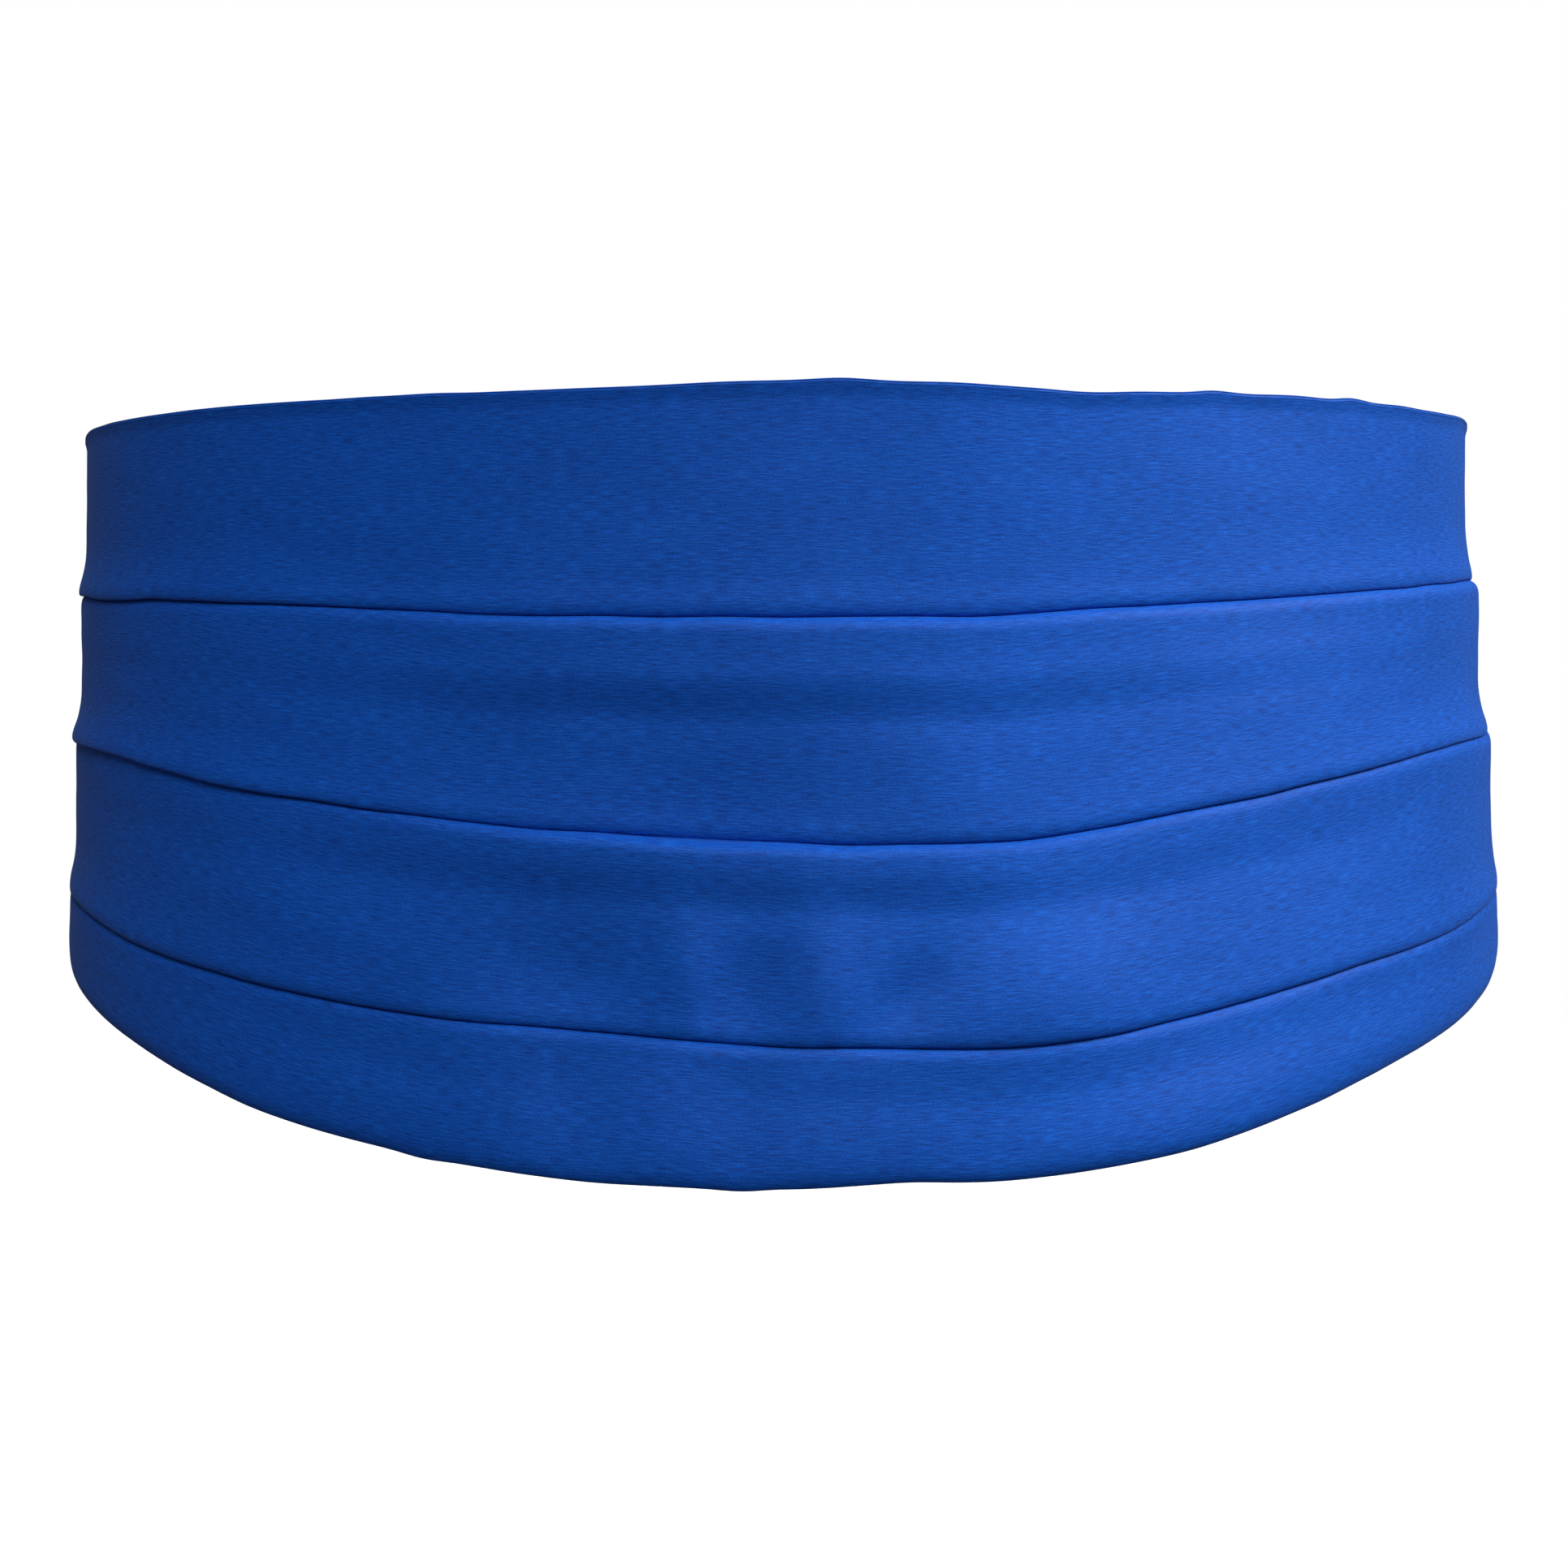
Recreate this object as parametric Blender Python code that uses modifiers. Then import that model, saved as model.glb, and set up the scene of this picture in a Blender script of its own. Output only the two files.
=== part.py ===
"""Pleated cummerbund, worn form: a whole waist loop held open in the shape of a waist.

Four doubled strips of cloth lie like clapboards, each fold lapping over the pleat below. A cloth tab
binds their ends at the back of each hip, and two plain straps meet at a slotted plate at centre back.

Metres, +Z up. The front faces -Y and its left end, as seen, is at -X. The origin is the middle of the
waist loop, halfway up the front. A bearing is the angle round the loop from the middle of the front,
positive towards +X, and "outward" is a distance from the waist oval along its normal.
"""

import math
from typing import NamedTuple

import bmesh
import bpy
import numpy as np
from mathutils import Vector

# Waist oval: the middle of the top pleat's outer face
WAIST_WIDTH = 0.2740
WAIST_DEPTH = 0.2060
FRONT_HEIGHT = 0.1400
PANEL_REACH = math.radians(135.0)

# Worn front: a soft ridge right of its middle, and a lower part that leans outward
FRONT_SWELL = 0.0085
BELLY_LEAN = 0.0070
FACE_SLANT = 0.0020

# Cloth of the pleats
PLEAT_WALL = 0.0012
FOLD_THICKNESS = 0.0014
UNDERLAP = 0.0120
TIER_STEP = 0.0017
LIP_FLARE = 0.0021
SIDE_LEAN = 0.0014
TOP_ROLL = 0.0004
IMPRINT_RISE = 0.0005
DENT_DEPTH = 0.0008
PIECE_GAP = 0.0003

# End tabs
TAB_WALL = 0.0012
TAB_COVER = 0.0130
TAB_WEB = 0.0020
TAB_MARGIN = 0.0015
TAB_NOSE = 0.0015

# Straps
STRAP_WIDTH = 0.0380
STRAP_THICKNESS = 0.0015
STRAP_POCKET = 0.0090
STRAP_FLAP = 0.0280
STRAP_EYE_TAPER = 0.0070

# Clasp plate
CLASP_WIDTH = 0.0440
CLASP_HEIGHT = 0.0480
CLASP_THICKNESS = 0.0026
CLASP_BAR = 0.0040
CLASP_SLOT = 0.0045
CLASP_EDGE = 0.0006

# Resolution of the lofts
PLEAT_STATIONS = 64
STATION_CROWDING = 0.35
STRAP_STATIONS = 9
ARC_STEPS = 600
EYE_SEGMENTS = 12
EYE_SQUARENESS = 1.3
EYE_OPENING = math.radians(65.0)


class Section(NamedTuple):
    """Heights of the edges and folds at one bearing."""

    bearing: float
    top: float
    fold_1: float
    fold_2: float
    fold_3: float
    hem: float


# Bearings are shares of PANEL_REACH, heights are shares of FRONT_HEIGHT
SECTIONS = (
    Section(-1.000, 0.400, 0.271, 0.150, 0.036, -0.057),
    Section(-0.930, 0.411, 0.273, 0.144, 0.018, -0.075),
    Section(-0.800, 0.455, 0.278, 0.116, -0.058, -0.163),
    Section(-0.610, 0.486, 0.266, 0.065, -0.147, -0.258),
    Section(-0.520, 0.490, 0.254, 0.049, -0.175, -0.297),
    Section(-0.445, 0.492, 0.246, 0.033, -0.206, -0.335),
    Section(-0.333, 0.493, 0.234, -0.005, -0.246, -0.399),
    Section(-0.222, 0.492, 0.221, -0.034, -0.280, -0.450),
    Section(-0.111, 0.493, 0.208, -0.059, -0.302, -0.481),
    Section(0.000, 0.495, 0.204, -0.072, -0.316, -0.489),
    Section(0.060, 0.493, 0.205, -0.074, -0.319, -0.482),
    Section(0.111, 0.489, 0.208, -0.071, -0.318, -0.479),
    Section(0.163, 0.487, 0.217, -0.054, -0.305, -0.466),
    Section(0.222, 0.491, 0.227, -0.030, -0.282, -0.443),
    Section(0.333, 0.498, 0.246, 0.011, -0.232, -0.379),
    Section(0.444, 0.501, 0.265, 0.047, -0.193, -0.322),
    Section(0.520, 0.504, 0.277, 0.062, -0.167, -0.286),
    Section(0.610, 0.504, 0.289, 0.075, -0.141, -0.246),
    Section(0.800, 0.464, 0.287, 0.119, -0.057, -0.155),
    Section(0.930, 0.411, 0.273, 0.144, 0.018, -0.075),
    Section(1.000, 0.400, 0.271, 0.150, 0.036, -0.057),
)


class Tier(NamedTuple):
    """How one pleat stands out from the waist oval."""

    name: str
    upper_edge: str
    lower_edge: str
    spread: float
    flare: float
    lean: float
    slant: float
    imprint_level: float
    imprint_rise: float


# Spread is a share of TIER_STEP, flare of LIP_FLARE, lean of SIDE_LEAN, slant of FACE_SLANT and the
# rise of IMPRINT_RISE.
# A level is a share of the pleat's visible height, from the fold above it (0) to its own fold (1).
TIERS = (
    Tier("pleat_1", "top", "fold_1", 0.10, 1.00, -1.15, 0.20, 0.28, 0.00),
    Tier("pleat_2", "fold_1", "fold_2", 1.15, 1.20, -0.60, 0.45, 0.28, 1.00),
    Tier("pleat_3", "fold_2", "fold_3", 2.25, 0.76, -0.10, 0.90, 0.17, 0.80),
    Tier("pleat_4", "fold_3", "hem", 2.95, -0.30, -0.10, 0.75, 0.30, 0.30),
)

# Bearings and reaches of the swell are shares of PANEL_REACH, the height a share of FRONT_HEIGHT
SWELL_PEAK = 0.08
SWELL_LEFT_REACH = 0.31
SWELL_RIGHT_REACH = 0.50
SWELL_ROUND = 0.14
SWELL_POWER = 1.20
BELLY_TOP = 0.25

IMPRINT_HALF_HEIGHT = 0.04
LIP_START = 0.65
LIP_POWER = 2.2
TUCK_START = 0.021
TUCK_END = 0.085
GATHER_START = 0.70
GATHERED_FLARE = 0.25
INNER_NOSE_LEVEL = 0.985
LAP_MIDDLE = 0.40
LAP_LIMIT = 0.80
LEVELS_BELOW_IMPRINT = (0.62, 0.76, 0.88, 0.955, 0.990)
INNER_MIDDLE_LEVEL = 0.45
INNER_TUCK_LEVEL = 0.10


class Dent(NamedTuple):
    """A soft hollow, or with a negative depth a swelling, in one pleat's face."""

    tier: str
    bearing: float
    level: float
    reach: float
    rise: float
    depth: float


# Bearings and reaches are shares of PANEL_REACH, levels and rises of the pleat's visible height,
# depths of DENT_DEPTH
DENTS = (
    Dent("pleat_1", -0.110, 0.40, 0.050, 0.50, 0.45),
    Dent("pleat_1", 0.050, 0.50, 0.035, 0.60, 0.50),
    Dent("pleat_1", -0.250, 0.55, 0.070, 0.50, 0.60),
    Dent("pleat_1", 0.260, 0.50, 0.090, 0.60, -0.60),
    Dent("pleat_2", -0.105, 0.62, 0.060, 0.40, 0.90),
    Dent("pleat_2", 0.020, 0.70, 0.030, 0.35, -0.45),
    Dent("pleat_2", -0.330, 0.50, 0.080, 0.50, 0.60),
    Dent("pleat_3", -0.085, 0.62, 0.026, 0.40, 0.50),
    Dent("pleat_3", -0.045, 0.55, 0.020, 0.40, -0.40),
    Dent("pleat_3", -0.024, 0.62, 0.018, 0.40, 0.45),
    Dent("pleat_3", 0.021, 0.50, 0.022, 0.42, -0.60),
    Dent("pleat_3", 0.066, 0.60, 0.022, 0.42, 0.70),
    Dent("pleat_3", 0.111, 0.48, 0.024, 0.45, -0.90),
    Dent("pleat_4", -0.105, 0.55, 0.022, 0.60, 0.50),
    Dent("pleat_4", -0.018, 0.55, 0.022, 0.60, 0.50),
    Dent("pleat_4", 0.030, 0.55, 0.022, 0.60, -0.50),
)

CLOTH_BLUE = (0.0116, 0.0723, 0.3520, 1.0)
STRAP_BLUE = (0.0075, 0.0430, 0.2150, 1.0)
CLASP_STEEL = (0.5200, 0.5200, 0.5400, 1.0)


def clear_scene():
    """Remove every object of the open file."""
    for old in list(bpy.data.objects):
        bpy.data.objects.remove(old, do_unlink=True)


def make_collection(name):
    """Return a new collection linked to the scene."""
    collection = bpy.data.collections.new(name)
    bpy.context.scene.collection.children.link(collection)
    return collection


def make_material(name, colour, roughness, metallic):
    """Return a Principled material with one colour."""
    material = bpy.data.materials.new(name)
    material.use_nodes = True
    shader = material.node_tree.nodes["Principled BSDF"]
    shader.inputs["Base Color"].default_value = colour
    shader.inputs["Roughness"].default_value = roughness
    shader.inputs["Metallic"].default_value = metallic
    return material


def front_share(bearing):
    """Return 1 at the middle of the front, falling to 0 at the sides and behind."""
    return max(math.cos(bearing), 0.0) ** 2


def swell(bearing):
    """Return how far the soft ridge of the front stands out at a bearing."""
    away = bearing / PANEL_REACH - SWELL_PEAK
    away /= SWELL_LEFT_REACH if away < 0.0 else SWELL_RIGHT_REACH
    fall = math.hypot(away, SWELL_ROUND) - SWELL_ROUND
    fall /= math.hypot(1.0, SWELL_ROUND) - SWELL_ROUND
    return FRONT_SWELL * max(1.0 - fall, 0.0) ** SWELL_POWER


def belly(bearing, height):
    """Return how far the lower front leans outward."""
    drop = max(BELLY_TOP - height / FRONT_HEIGHT, 0.0) / (BELLY_TOP + 0.5)
    return BELLY_LEAN * front_share(bearing) * drop


def on_waist(bearing, outward, height=0.0):
    """Return the point at a bearing and height, a distance outside the worn waist."""
    outward = outward + swell(bearing) + belly(bearing, height)
    half_width = WAIST_WIDTH / 2
    half_depth = WAIST_DEPTH / 2
    across, along = math.sin(bearing), -math.cos(bearing)
    normal = Vector((across / half_width, along / half_depth, 0.0)).normalized()
    return Vector((half_width * across, half_depth * along, height)) + outward * normal


def arc_table(outward, start, end):
    """Return bearings and the lengths along the oval at them, measured from the start bearing."""
    bearings = np.linspace(start, end, ARC_STEPS)
    points = np.array([on_waist(bearing, outward) for bearing in bearings])
    lengths = np.concatenate(([0.0], np.cumsum(np.linalg.norm(np.diff(points, axis=0), axis=1))))
    return bearings, lengths


def bearing_before(bearing, length, outward=0.0):
    """Return the bearing a length short of the given one, along the oval from the front."""
    bearings, lengths = arc_table(outward, 0.0, bearing)
    return float(np.interp(lengths[-1] - length, lengths, bearings))


def bearing_after(bearing, length, outward=0.0):
    """Return the bearing a length past the given one, towards the middle of the back."""
    bearings, lengths = arc_table(outward, bearing, math.pi)
    return float(np.interp(length, lengths, bearings))


def smooth_step(value):
    """Return 0 below 0, 1 above 1 and an eased curve between."""
    value = min(max(value, 0.0), 1.0)
    return value * value * (3.0 - 2.0 * value)


def edge_height(edge, share):
    """Return the height of an edge or fold, on a smooth curve through the section table."""
    rows = SECTIONS
    index = max(i for i in range(len(rows) - 1) if rows[i].bearing <= max(share, rows[0].bearing))

    def slope(i):
        before, after = rows[max(i - 1, 0)], rows[min(i + 1, len(rows) - 1)]
        return (getattr(after, edge) - getattr(before, edge)) / (after.bearing - before.bearing)

    start, end = rows[index], rows[index + 1]
    span = end.bearing - start.bearing
    t = (share - start.bearing) / span
    rise = (2 * t**3 - 3 * t**2 + 1) * getattr(start, edge) + (3 * t**2 - 2 * t**3) * getattr(end, edge)
    rise += span * ((t**3 - 2 * t**2 + t) * slope(index) + (t**3 - t**2) * slope(index + 1))
    return rise * FRONT_HEIGHT


def lip(level):
    """Return how much of the flare a pleat has at a level: none, then all of it at the fold."""
    return max((level - LIP_START) / (1.0 - LIP_START), 0.0) ** LIP_POWER


def dents(tier, share, level):
    """Return how far the dents of a pleat sink its face."""
    depth = 0.0
    for dent in DENTS:
        if dent.tier == tier.name:
            across = (share - dent.bearing) / dent.reach
            along = (level - dent.level) / dent.rise
            depth += dent.depth * math.exp(-2.0 * (across * across + along * along))
    return depth * DENT_DEPTH


class PleatSection:
    """One pleat cut at one bearing, as points of distance outward and height."""

    def __init__(self, tier, share, above):
        self.tier = tier
        self.share = share
        self.above = above
        self.upper = edge_height(tier.upper_edge, share)
        self.lower = edge_height(tier.lower_edge, share)
        self.spreading = smooth_step((1.0 - abs(share)) / (1.0 - GATHER_START))
        self.lap_level = 1.0 - min(UNDERLAP / (self.upper - self.lower), LAP_LIMIT)
        self.lap_middle_level = 1.0 - LAP_MIDDLE * (1.0 - self.lap_level)

    def height(self, level):
        """Return the height at a level of the visible face."""
        return self.upper + (self.lower - self.upper) * level

    def wall(self, level):
        """Return the thickness at a level: the wall, and a little more in the fold."""
        return PLEAT_WALL + (FOLD_THICKNESS - PLEAT_WALL) * lip(level)

    def imprint(self, level):
        """Return the soft step that the hidden layer behind gives the upper part of the face."""
        tier = self.tier
        front = front_share(self.share * PANEL_REACH)
        below = (level - tier.imprint_level + IMPRINT_HALF_HEIGHT) / (2 * IMPRINT_HALF_HEIGHT)
        return IMPRINT_RISE * tier.imprint_rise * front * (1.0 - smooth_step(below))

    def outer(self, level):
        """Return how far the visible face stands outward at a level."""
        tier = self.tier
        lean = SIDE_LEAN * tier.lean * math.sin(self.share * PANEL_REACH)
        facing = math.sqrt(front_share(self.share * PANEL_REACH))
        slant = FACE_SLANT * tier.slant * facing * (1.0 - level)
        flare = GATHERED_FLARE + (1.0 - GATHERED_FLARE) * self.spreading
        stand = (TIER_STEP * tier.spread + lean - slant) * self.spreading
        stand += LIP_FLARE * tier.flare * flare * lip(level) + self.imprint(level)
        stand -= dents(tier, self.share, level) * self.spreading
        if self.above is None:
            return stand + TOP_ROLL * (1.0 - smooth_step(level / TUCK_END))
        tucked = self.above.inner(INNER_NOSE_LEVEL) - PIECE_GAP
        if level >= TUCK_END:
            return stand
        return tucked + (stand - tucked) * math.sin(0.5 * math.pi * level / TUCK_END)

    def inner(self, level):
        """Return how far the inside of the visible part stands outward at a level."""
        return self.outer(level) - self.wall(level)

    def lap_points(self):
        """Return the inside points that the pleat below follows, from its fold up."""
        levels = (INNER_NOSE_LEVEL, self.lap_middle_level, self.lap_level)
        return [(self.inner(level), self.height(level)) for level in levels]

    def head(self):
        """Return the points above the visible face, outside ones top down and inside ones up."""
        if self.above is None:
            edge = self.outer(0.0)
            shoulder = self.upper - PLEAT_WALL / 2
            outside = [(edge - PLEAT_WALL / 2, self.upper), (edge, shoulder)]
            return outside, [(edge - PLEAT_WALL, shoulder)]
        followed = self.above.lap_points()
        outside = [(outward - PIECE_GAP, height) for outward, height in reversed(followed)]
        inside = [(outward - PIECE_GAP - PLEAT_WALL, height) for outward, height in followed]
        return outside, inside

    def outline(self):
        """Return the closed outline of the section: down the outside, round the fold and up."""
        tier = self.tier
        outside, inside = self.head()
        levels = [TUCK_END] if self.above is None else [TUCK_START, TUCK_END]
        levels += [tier.imprint_level - IMPRINT_HALF_HEIGHT, tier.imprint_level + IMPRINT_HALF_HEIGHT]
        levels += LEVELS_BELOW_IMPRINT
        points = outside + [(self.outer(level), self.height(level)) for level in levels]
        points.append((self.outer(1.0) - FOLD_THICKNESS / 2, self.lower))
        points += self.lap_points()
        middle = min(INNER_MIDDLE_LEVEL, (self.lap_level + INNER_TUCK_LEVEL) / 2)
        points += [(self.inner(level), self.height(level)) for level in (middle, INNER_TUCK_LEVEL)]
        return points + inside


def section_stack(share):
    """Return the four pleats' sections at one bearing, from the top pleat down."""
    stack = []
    for tier in TIERS:
        stack.append(PleatSection(tier, share, stack[-1] if stack else None))
    return stack


def station_shares():
    """Return the bearings of the stations, closer together at the front of the panel."""
    steps = np.linspace(-1.0, 1.0, PLEAT_STATIONS)
    return (steps * (1.0 - STATION_CROWDING + STATION_CROWDING * steps * steps)).tolist()


def new_object(name, mesh, material, collection):
    """Return a smoothly shaded object of a mesh with one material."""
    mesh.materials.clear()
    mesh.materials.append(material)
    mesh.shade_smooth()
    mesh.set_sharp_from_angle(angle=math.radians(50.0))
    made = bpy.data.objects.new(name, mesh)
    collection.objects.link(made)
    return made


def loft(name, rings):
    """Return a closed mesh through rings of points, all of one length, with flat ends."""
    shape = bmesh.new()
    rows = [[shape.verts.new(point) for point in ring] for ring in rings]
    for row, following in zip(rows, rows[1:]):
        for i in range(len(row)):
            j = (i + 1) % len(row)
            shape.faces.new((row[i], row[j], following[j], following[i]))
    shape.faces.new(reversed(rows[0]))
    shape.faces.new(rows[-1])
    bmesh.ops.recalc_face_normals(shape, faces=shape.faces)
    mesh = bpy.data.meshes.new(name)
    shape.to_mesh(mesh)
    shape.free()
    return mesh


def make_pleats(collection, cloth):
    """Build the four pleats as lofts through the same stations."""
    shares = station_shares()
    stacks = [section_stack(share) for share in shares]
    for index, tier in enumerate(TIERS):
        rings = []
        for share, stack in zip(shares, stacks):
            bearing = share * PANEL_REACH
            rings.append([on_waist(bearing, out, height) for out, height in stack[index].outline()])
        new_object(tier.name, loft(tier.name, rings), cloth, collection)


def gathered_stack():
    """Return the lowest and highest outward distance that the pleats reach inside a tab."""
    shares = [share for share in station_shares() if share > 0.0]
    inside = bearing_before(PANEL_REACH, TAB_COVER) / PANEL_REACH
    first = max(share for share in shares if share < inside)
    reached = []
    for share in [share for share in shares if share >= first]:
        for section in section_stack(share):
            reached += [outward for outward, height in section.outline()]
    return min(reached), max(reached)


def extruded(name, loops, half_height, centre_height, material, collection):
    """Return a mesh object: flat closed outlines, the later ones holes, raised to a height."""
    outline = bpy.data.curves.new(name, "CURVE")
    outline.dimensions = "2D"
    outline.fill_mode = "BOTH"
    outline.extrude = half_height
    for loop in loops:
        spline = outline.splines.new("POLY")
        spline.points.add(len(loop) - 1)
        for point, place in zip(spline.points, loop):
            point.co = (place[0], place[1], 0.0, 1.0)
        spline.use_cyclic_u = True
    drawn = bpy.data.objects.new(name + "_outline", outline)
    bpy.context.scene.collection.objects.link(drawn)
    evaluated = drawn.evaluated_get(bpy.context.evaluated_depsgraph_get())
    mesh = bpy.data.meshes.new_from_object(evaluated)
    mesh.name = name
    bpy.data.objects.remove(drawn, do_unlink=True)
    shape = bmesh.new()
    shape.from_mesh(mesh)
    bmesh.ops.remove_doubles(shape, verts=shape.verts, dist=0.00001)
    bmesh.ops.recalc_face_normals(shape, faces=shape.faces)
    bmesh.ops.translate(shape, verts=shape.verts, vec=(0.0, 0.0, centre_height))
    shape.to_mesh(mesh)
    shape.free()
    return new_object(name, mesh, material, collection)


def make_cutter(made):
    """Mark an object as a cutter that is never part of the model."""
    made.hide_render = True
    made.display_type = "WIRE"
    return made


def cut(made, cutter):
    """Take a cutter's shape out of an object."""
    modifier = made.modifiers.new("cut by " + cutter.name, "BOOLEAN")
    modifier.operation = "DIFFERENCE"
    modifier.solver = "EXACT"
    modifier.object = cutter


def band_outline(side, bearings, low, high, nose=None):
    """Return a plan outline between two distances outward, with or without a rounded last end."""
    inner_edge = [on_waist(side * bearing, low) for bearing in bearings]
    outer_edge = [on_waist(side * bearing, high) for bearing in bearings]
    if nose is not None:
        inset = (high - low) / 4
        inner_edge.append(on_waist(side * nose, low + inset))
        outer_edge.append(on_waist(side * nose, high - inset))
    return inner_edge + outer_edge[::-1]


def strap_height():
    """Return the height of the straps' middle: the middle of the gathered panel end."""
    return (edge_height("top", 1.0) + edge_height("hem", 1.0)) / 2


def strap_offset():
    """Return how far out the middle of a strap runs: the middle of the gathered pleats."""
    low, high = gathered_stack()
    return (low + high) / 2


def make_end_tab(side, collection, cutters, cloth):
    """Build one end tab: a thick cloth fold with a slot for the pleats and a pocket for the strap."""
    name = "end_tab_left" if side < 0 else "end_tab_right"
    low, high = gathered_stack()
    low, high = low - PIECE_GAP, high + PIECE_GAP
    mouth = bearing_before(PANEL_REACH, TAB_COVER)
    slot_end = bearing_after(PANEL_REACH, PIECE_GAP)
    pocket_start = bearing_after(slot_end, TAB_WEB)
    back = bearing_after(pocket_start, STRAP_POCKET)
    stations = [share * PANEL_REACH for share in station_shares() if share > 0.0]
    followed = [bearing for bearing in stations if mouth < bearing < PANEL_REACH]
    top, bottom = edge_height("top", 1.0), edge_height("hem", 1.0)
    half_height = (top - bottom) / 2 + TAB_MARGIN
    shoulder = bearing_before(back, TAB_NOSE)
    bearings = [mouth] + followed + [slot_end, pocket_start, shoulder]
    outline = band_outline(side, bearings, low - TAB_WALL, high + TAB_WALL, back)
    tab = extruded(name, [outline], half_height, strap_height(), cloth, collection)

    past_mouth = bearing_before(mouth, TAB_MARGIN)
    slot = band_outline(side, [past_mouth] + followed + [slot_end], low, high)
    slot = extruded(name + "_slot", [slot], 2 * half_height, strap_height(), cloth, cutters)
    cut(tab, make_cutter(slot))

    half_pocket = STRAP_THICKNESS / 2 + PIECE_GAP
    past_back = bearing_after(back, TAB_MARGIN)
    pocket = band_outline(
        side, [pocket_start, back, past_back], strap_offset() - half_pocket, strap_offset() + half_pocket
    )
    pocket_height = STRAP_WIDTH / 2 + PIECE_GAP
    pocket = extruded(name + "_pocket", [pocket], pocket_height, strap_height(), cloth, cutters)
    cut(tab, make_cutter(pocket))
    return pocket_start


def eye_outline(centre, side, half_length, half_thickness, opening):
    """Return a rounded oblong round the clasp bar, in plan, open towards the tab by an angle."""
    points = []
    for angle in np.linspace(opening, 2 * math.pi - opening, EYE_SEGMENTS).tolist():
        reach_x = max(min(EYE_SQUARENESS * math.cos(angle), 1.0), -1.0) * half_length
        reach_y = max(min(EYE_SQUARENESS * math.sin(angle), 1.0), -1.0) * half_thickness
        points.append(centre + Vector((side * reach_x, reach_y, 0.0)))
    return points


def clasp_bar_bearing():
    """Return the bearing at which a strap reaches the middle of the clasp's end bar."""
    reach = CLASP_WIDTH / 2 - CLASP_BAR / 2
    offset = strap_offset()
    bearings = np.linspace(math.pi / 2, math.pi, ARC_STEPS)
    across = np.array([on_waist(bearing, offset).x for bearing in bearings])
    return float(np.interp(-reach, -across, bearings))


def make_strap(side, start, collection, cloth):
    """Build one strap: a band from the tab's pocket, turned round the clasp bar and sewn back."""
    name = "strap_left" if side < 0 else "strap_right"
    offset = strap_offset()
    half = STRAP_THICKNESS / 2
    bar_bearing = clasp_bar_bearing()
    centre = on_waist(side * bar_bearing, offset - half)
    eye_length = CLASP_BAR / 2 + PIECE_GAP
    eye_thickness = CLASP_THICKNESS / 2 + PIECE_GAP
    taper_start = bearing_before(bar_bearing, eye_length + STRAP_EYE_TAPER)
    flap_end = bearing_before(bar_bearing, eye_length + STRAP_FLAP)
    first = bearing_after(start, PIECE_GAP)
    outer_run = np.linspace(first, taper_start, STRAP_STATIONS)
    single_run = [bearing for bearing in outer_run if bearing < flap_end - 0.01] + [flap_end]
    outer_face = [on_waist(side * bearing, offset + half) for bearing in outer_run]
    flap_face = [on_waist(side * bearing, offset - 3 * half) for bearing in (taper_start, flap_end)]
    single_face = [on_waist(side * bearing, offset - half) for bearing in reversed(single_run)]

    closed = math.pi / EYE_SEGMENTS
    hole = eye_outline(centre, side, eye_length, eye_thickness, closed)
    rim_length, rim_thickness = eye_length + STRAP_THICKNESS, eye_thickness + STRAP_THICKNESS
    rim = eye_outline(centre, side, rim_length, rim_thickness, EYE_OPENING)
    outline = outer_face + rim + flap_face + single_face
    extruded(name, [outline, hole], STRAP_WIDTH / 2, strap_height(), cloth, collection)


def box(name, size, centre, material, collection):
    """Return a box of a size about a centre, from the cube primitive."""
    shape = bmesh.new()
    bmesh.ops.create_cube(shape, size=1.0)
    bmesh.ops.scale(shape, verts=shape.verts, vec=size)
    bmesh.ops.translate(shape, verts=shape.verts, vec=centre)
    mesh = bpy.data.meshes.new(name)
    shape.to_mesh(mesh)
    shape.free()
    return new_object(name, mesh, material, collection)


def make_clasp(collection, cutters, steel):
    """Build the plate at centre back, with a slot inside each end bar."""
    bar_centre = on_waist(clasp_bar_bearing(), strap_offset() - STRAP_THICKNESS / 2)
    centre = Vector((0.0, bar_centre.y, strap_height()))
    plate = box("clasp", (CLASP_WIDTH, CLASP_THICKNESS, CLASP_HEIGHT), centre, steel, collection)
    edge = plate.modifiers.new("rounded edges", "BEVEL")
    edge.width = CLASP_EDGE
    edge.segments = 2
    edge.harden_normals = True
    slot_size = (CLASP_SLOT, 3 * CLASP_THICKNESS, STRAP_WIDTH + 4 * PIECE_GAP)
    for side in (-1, 1):
        name = "clasp_slot_left" if side < 0 else "clasp_slot_right"
        reach = side * (CLASP_WIDTH / 2 - CLASP_BAR - CLASP_SLOT / 2)
        slot = box(name, slot_size, centre + Vector((reach, 0.0, 0.0)), steel, cutters)
        cut(plate, make_cutter(slot))


def main():
    """Build the whole cummerbund."""
    clear_scene()
    model = make_collection("cummerbund")
    cutters = make_collection("cutters")
    cloth = make_material("pleat_cloth", CLOTH_BLUE, 0.62, 0.0)
    ribbon = make_material("strap_cloth", STRAP_BLUE, 0.70, 0.0)
    steel = make_material("clasp_steel", CLASP_STEEL, 0.35, 1.0)
    make_pleats(model, cloth)
    for side in (-1, 1):
        pocket = make_end_tab(side, model, cutters, cloth)
        make_strap(side, pocket, model, ribbon)
    make_clasp(model, cutters, steel)


main()
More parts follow.
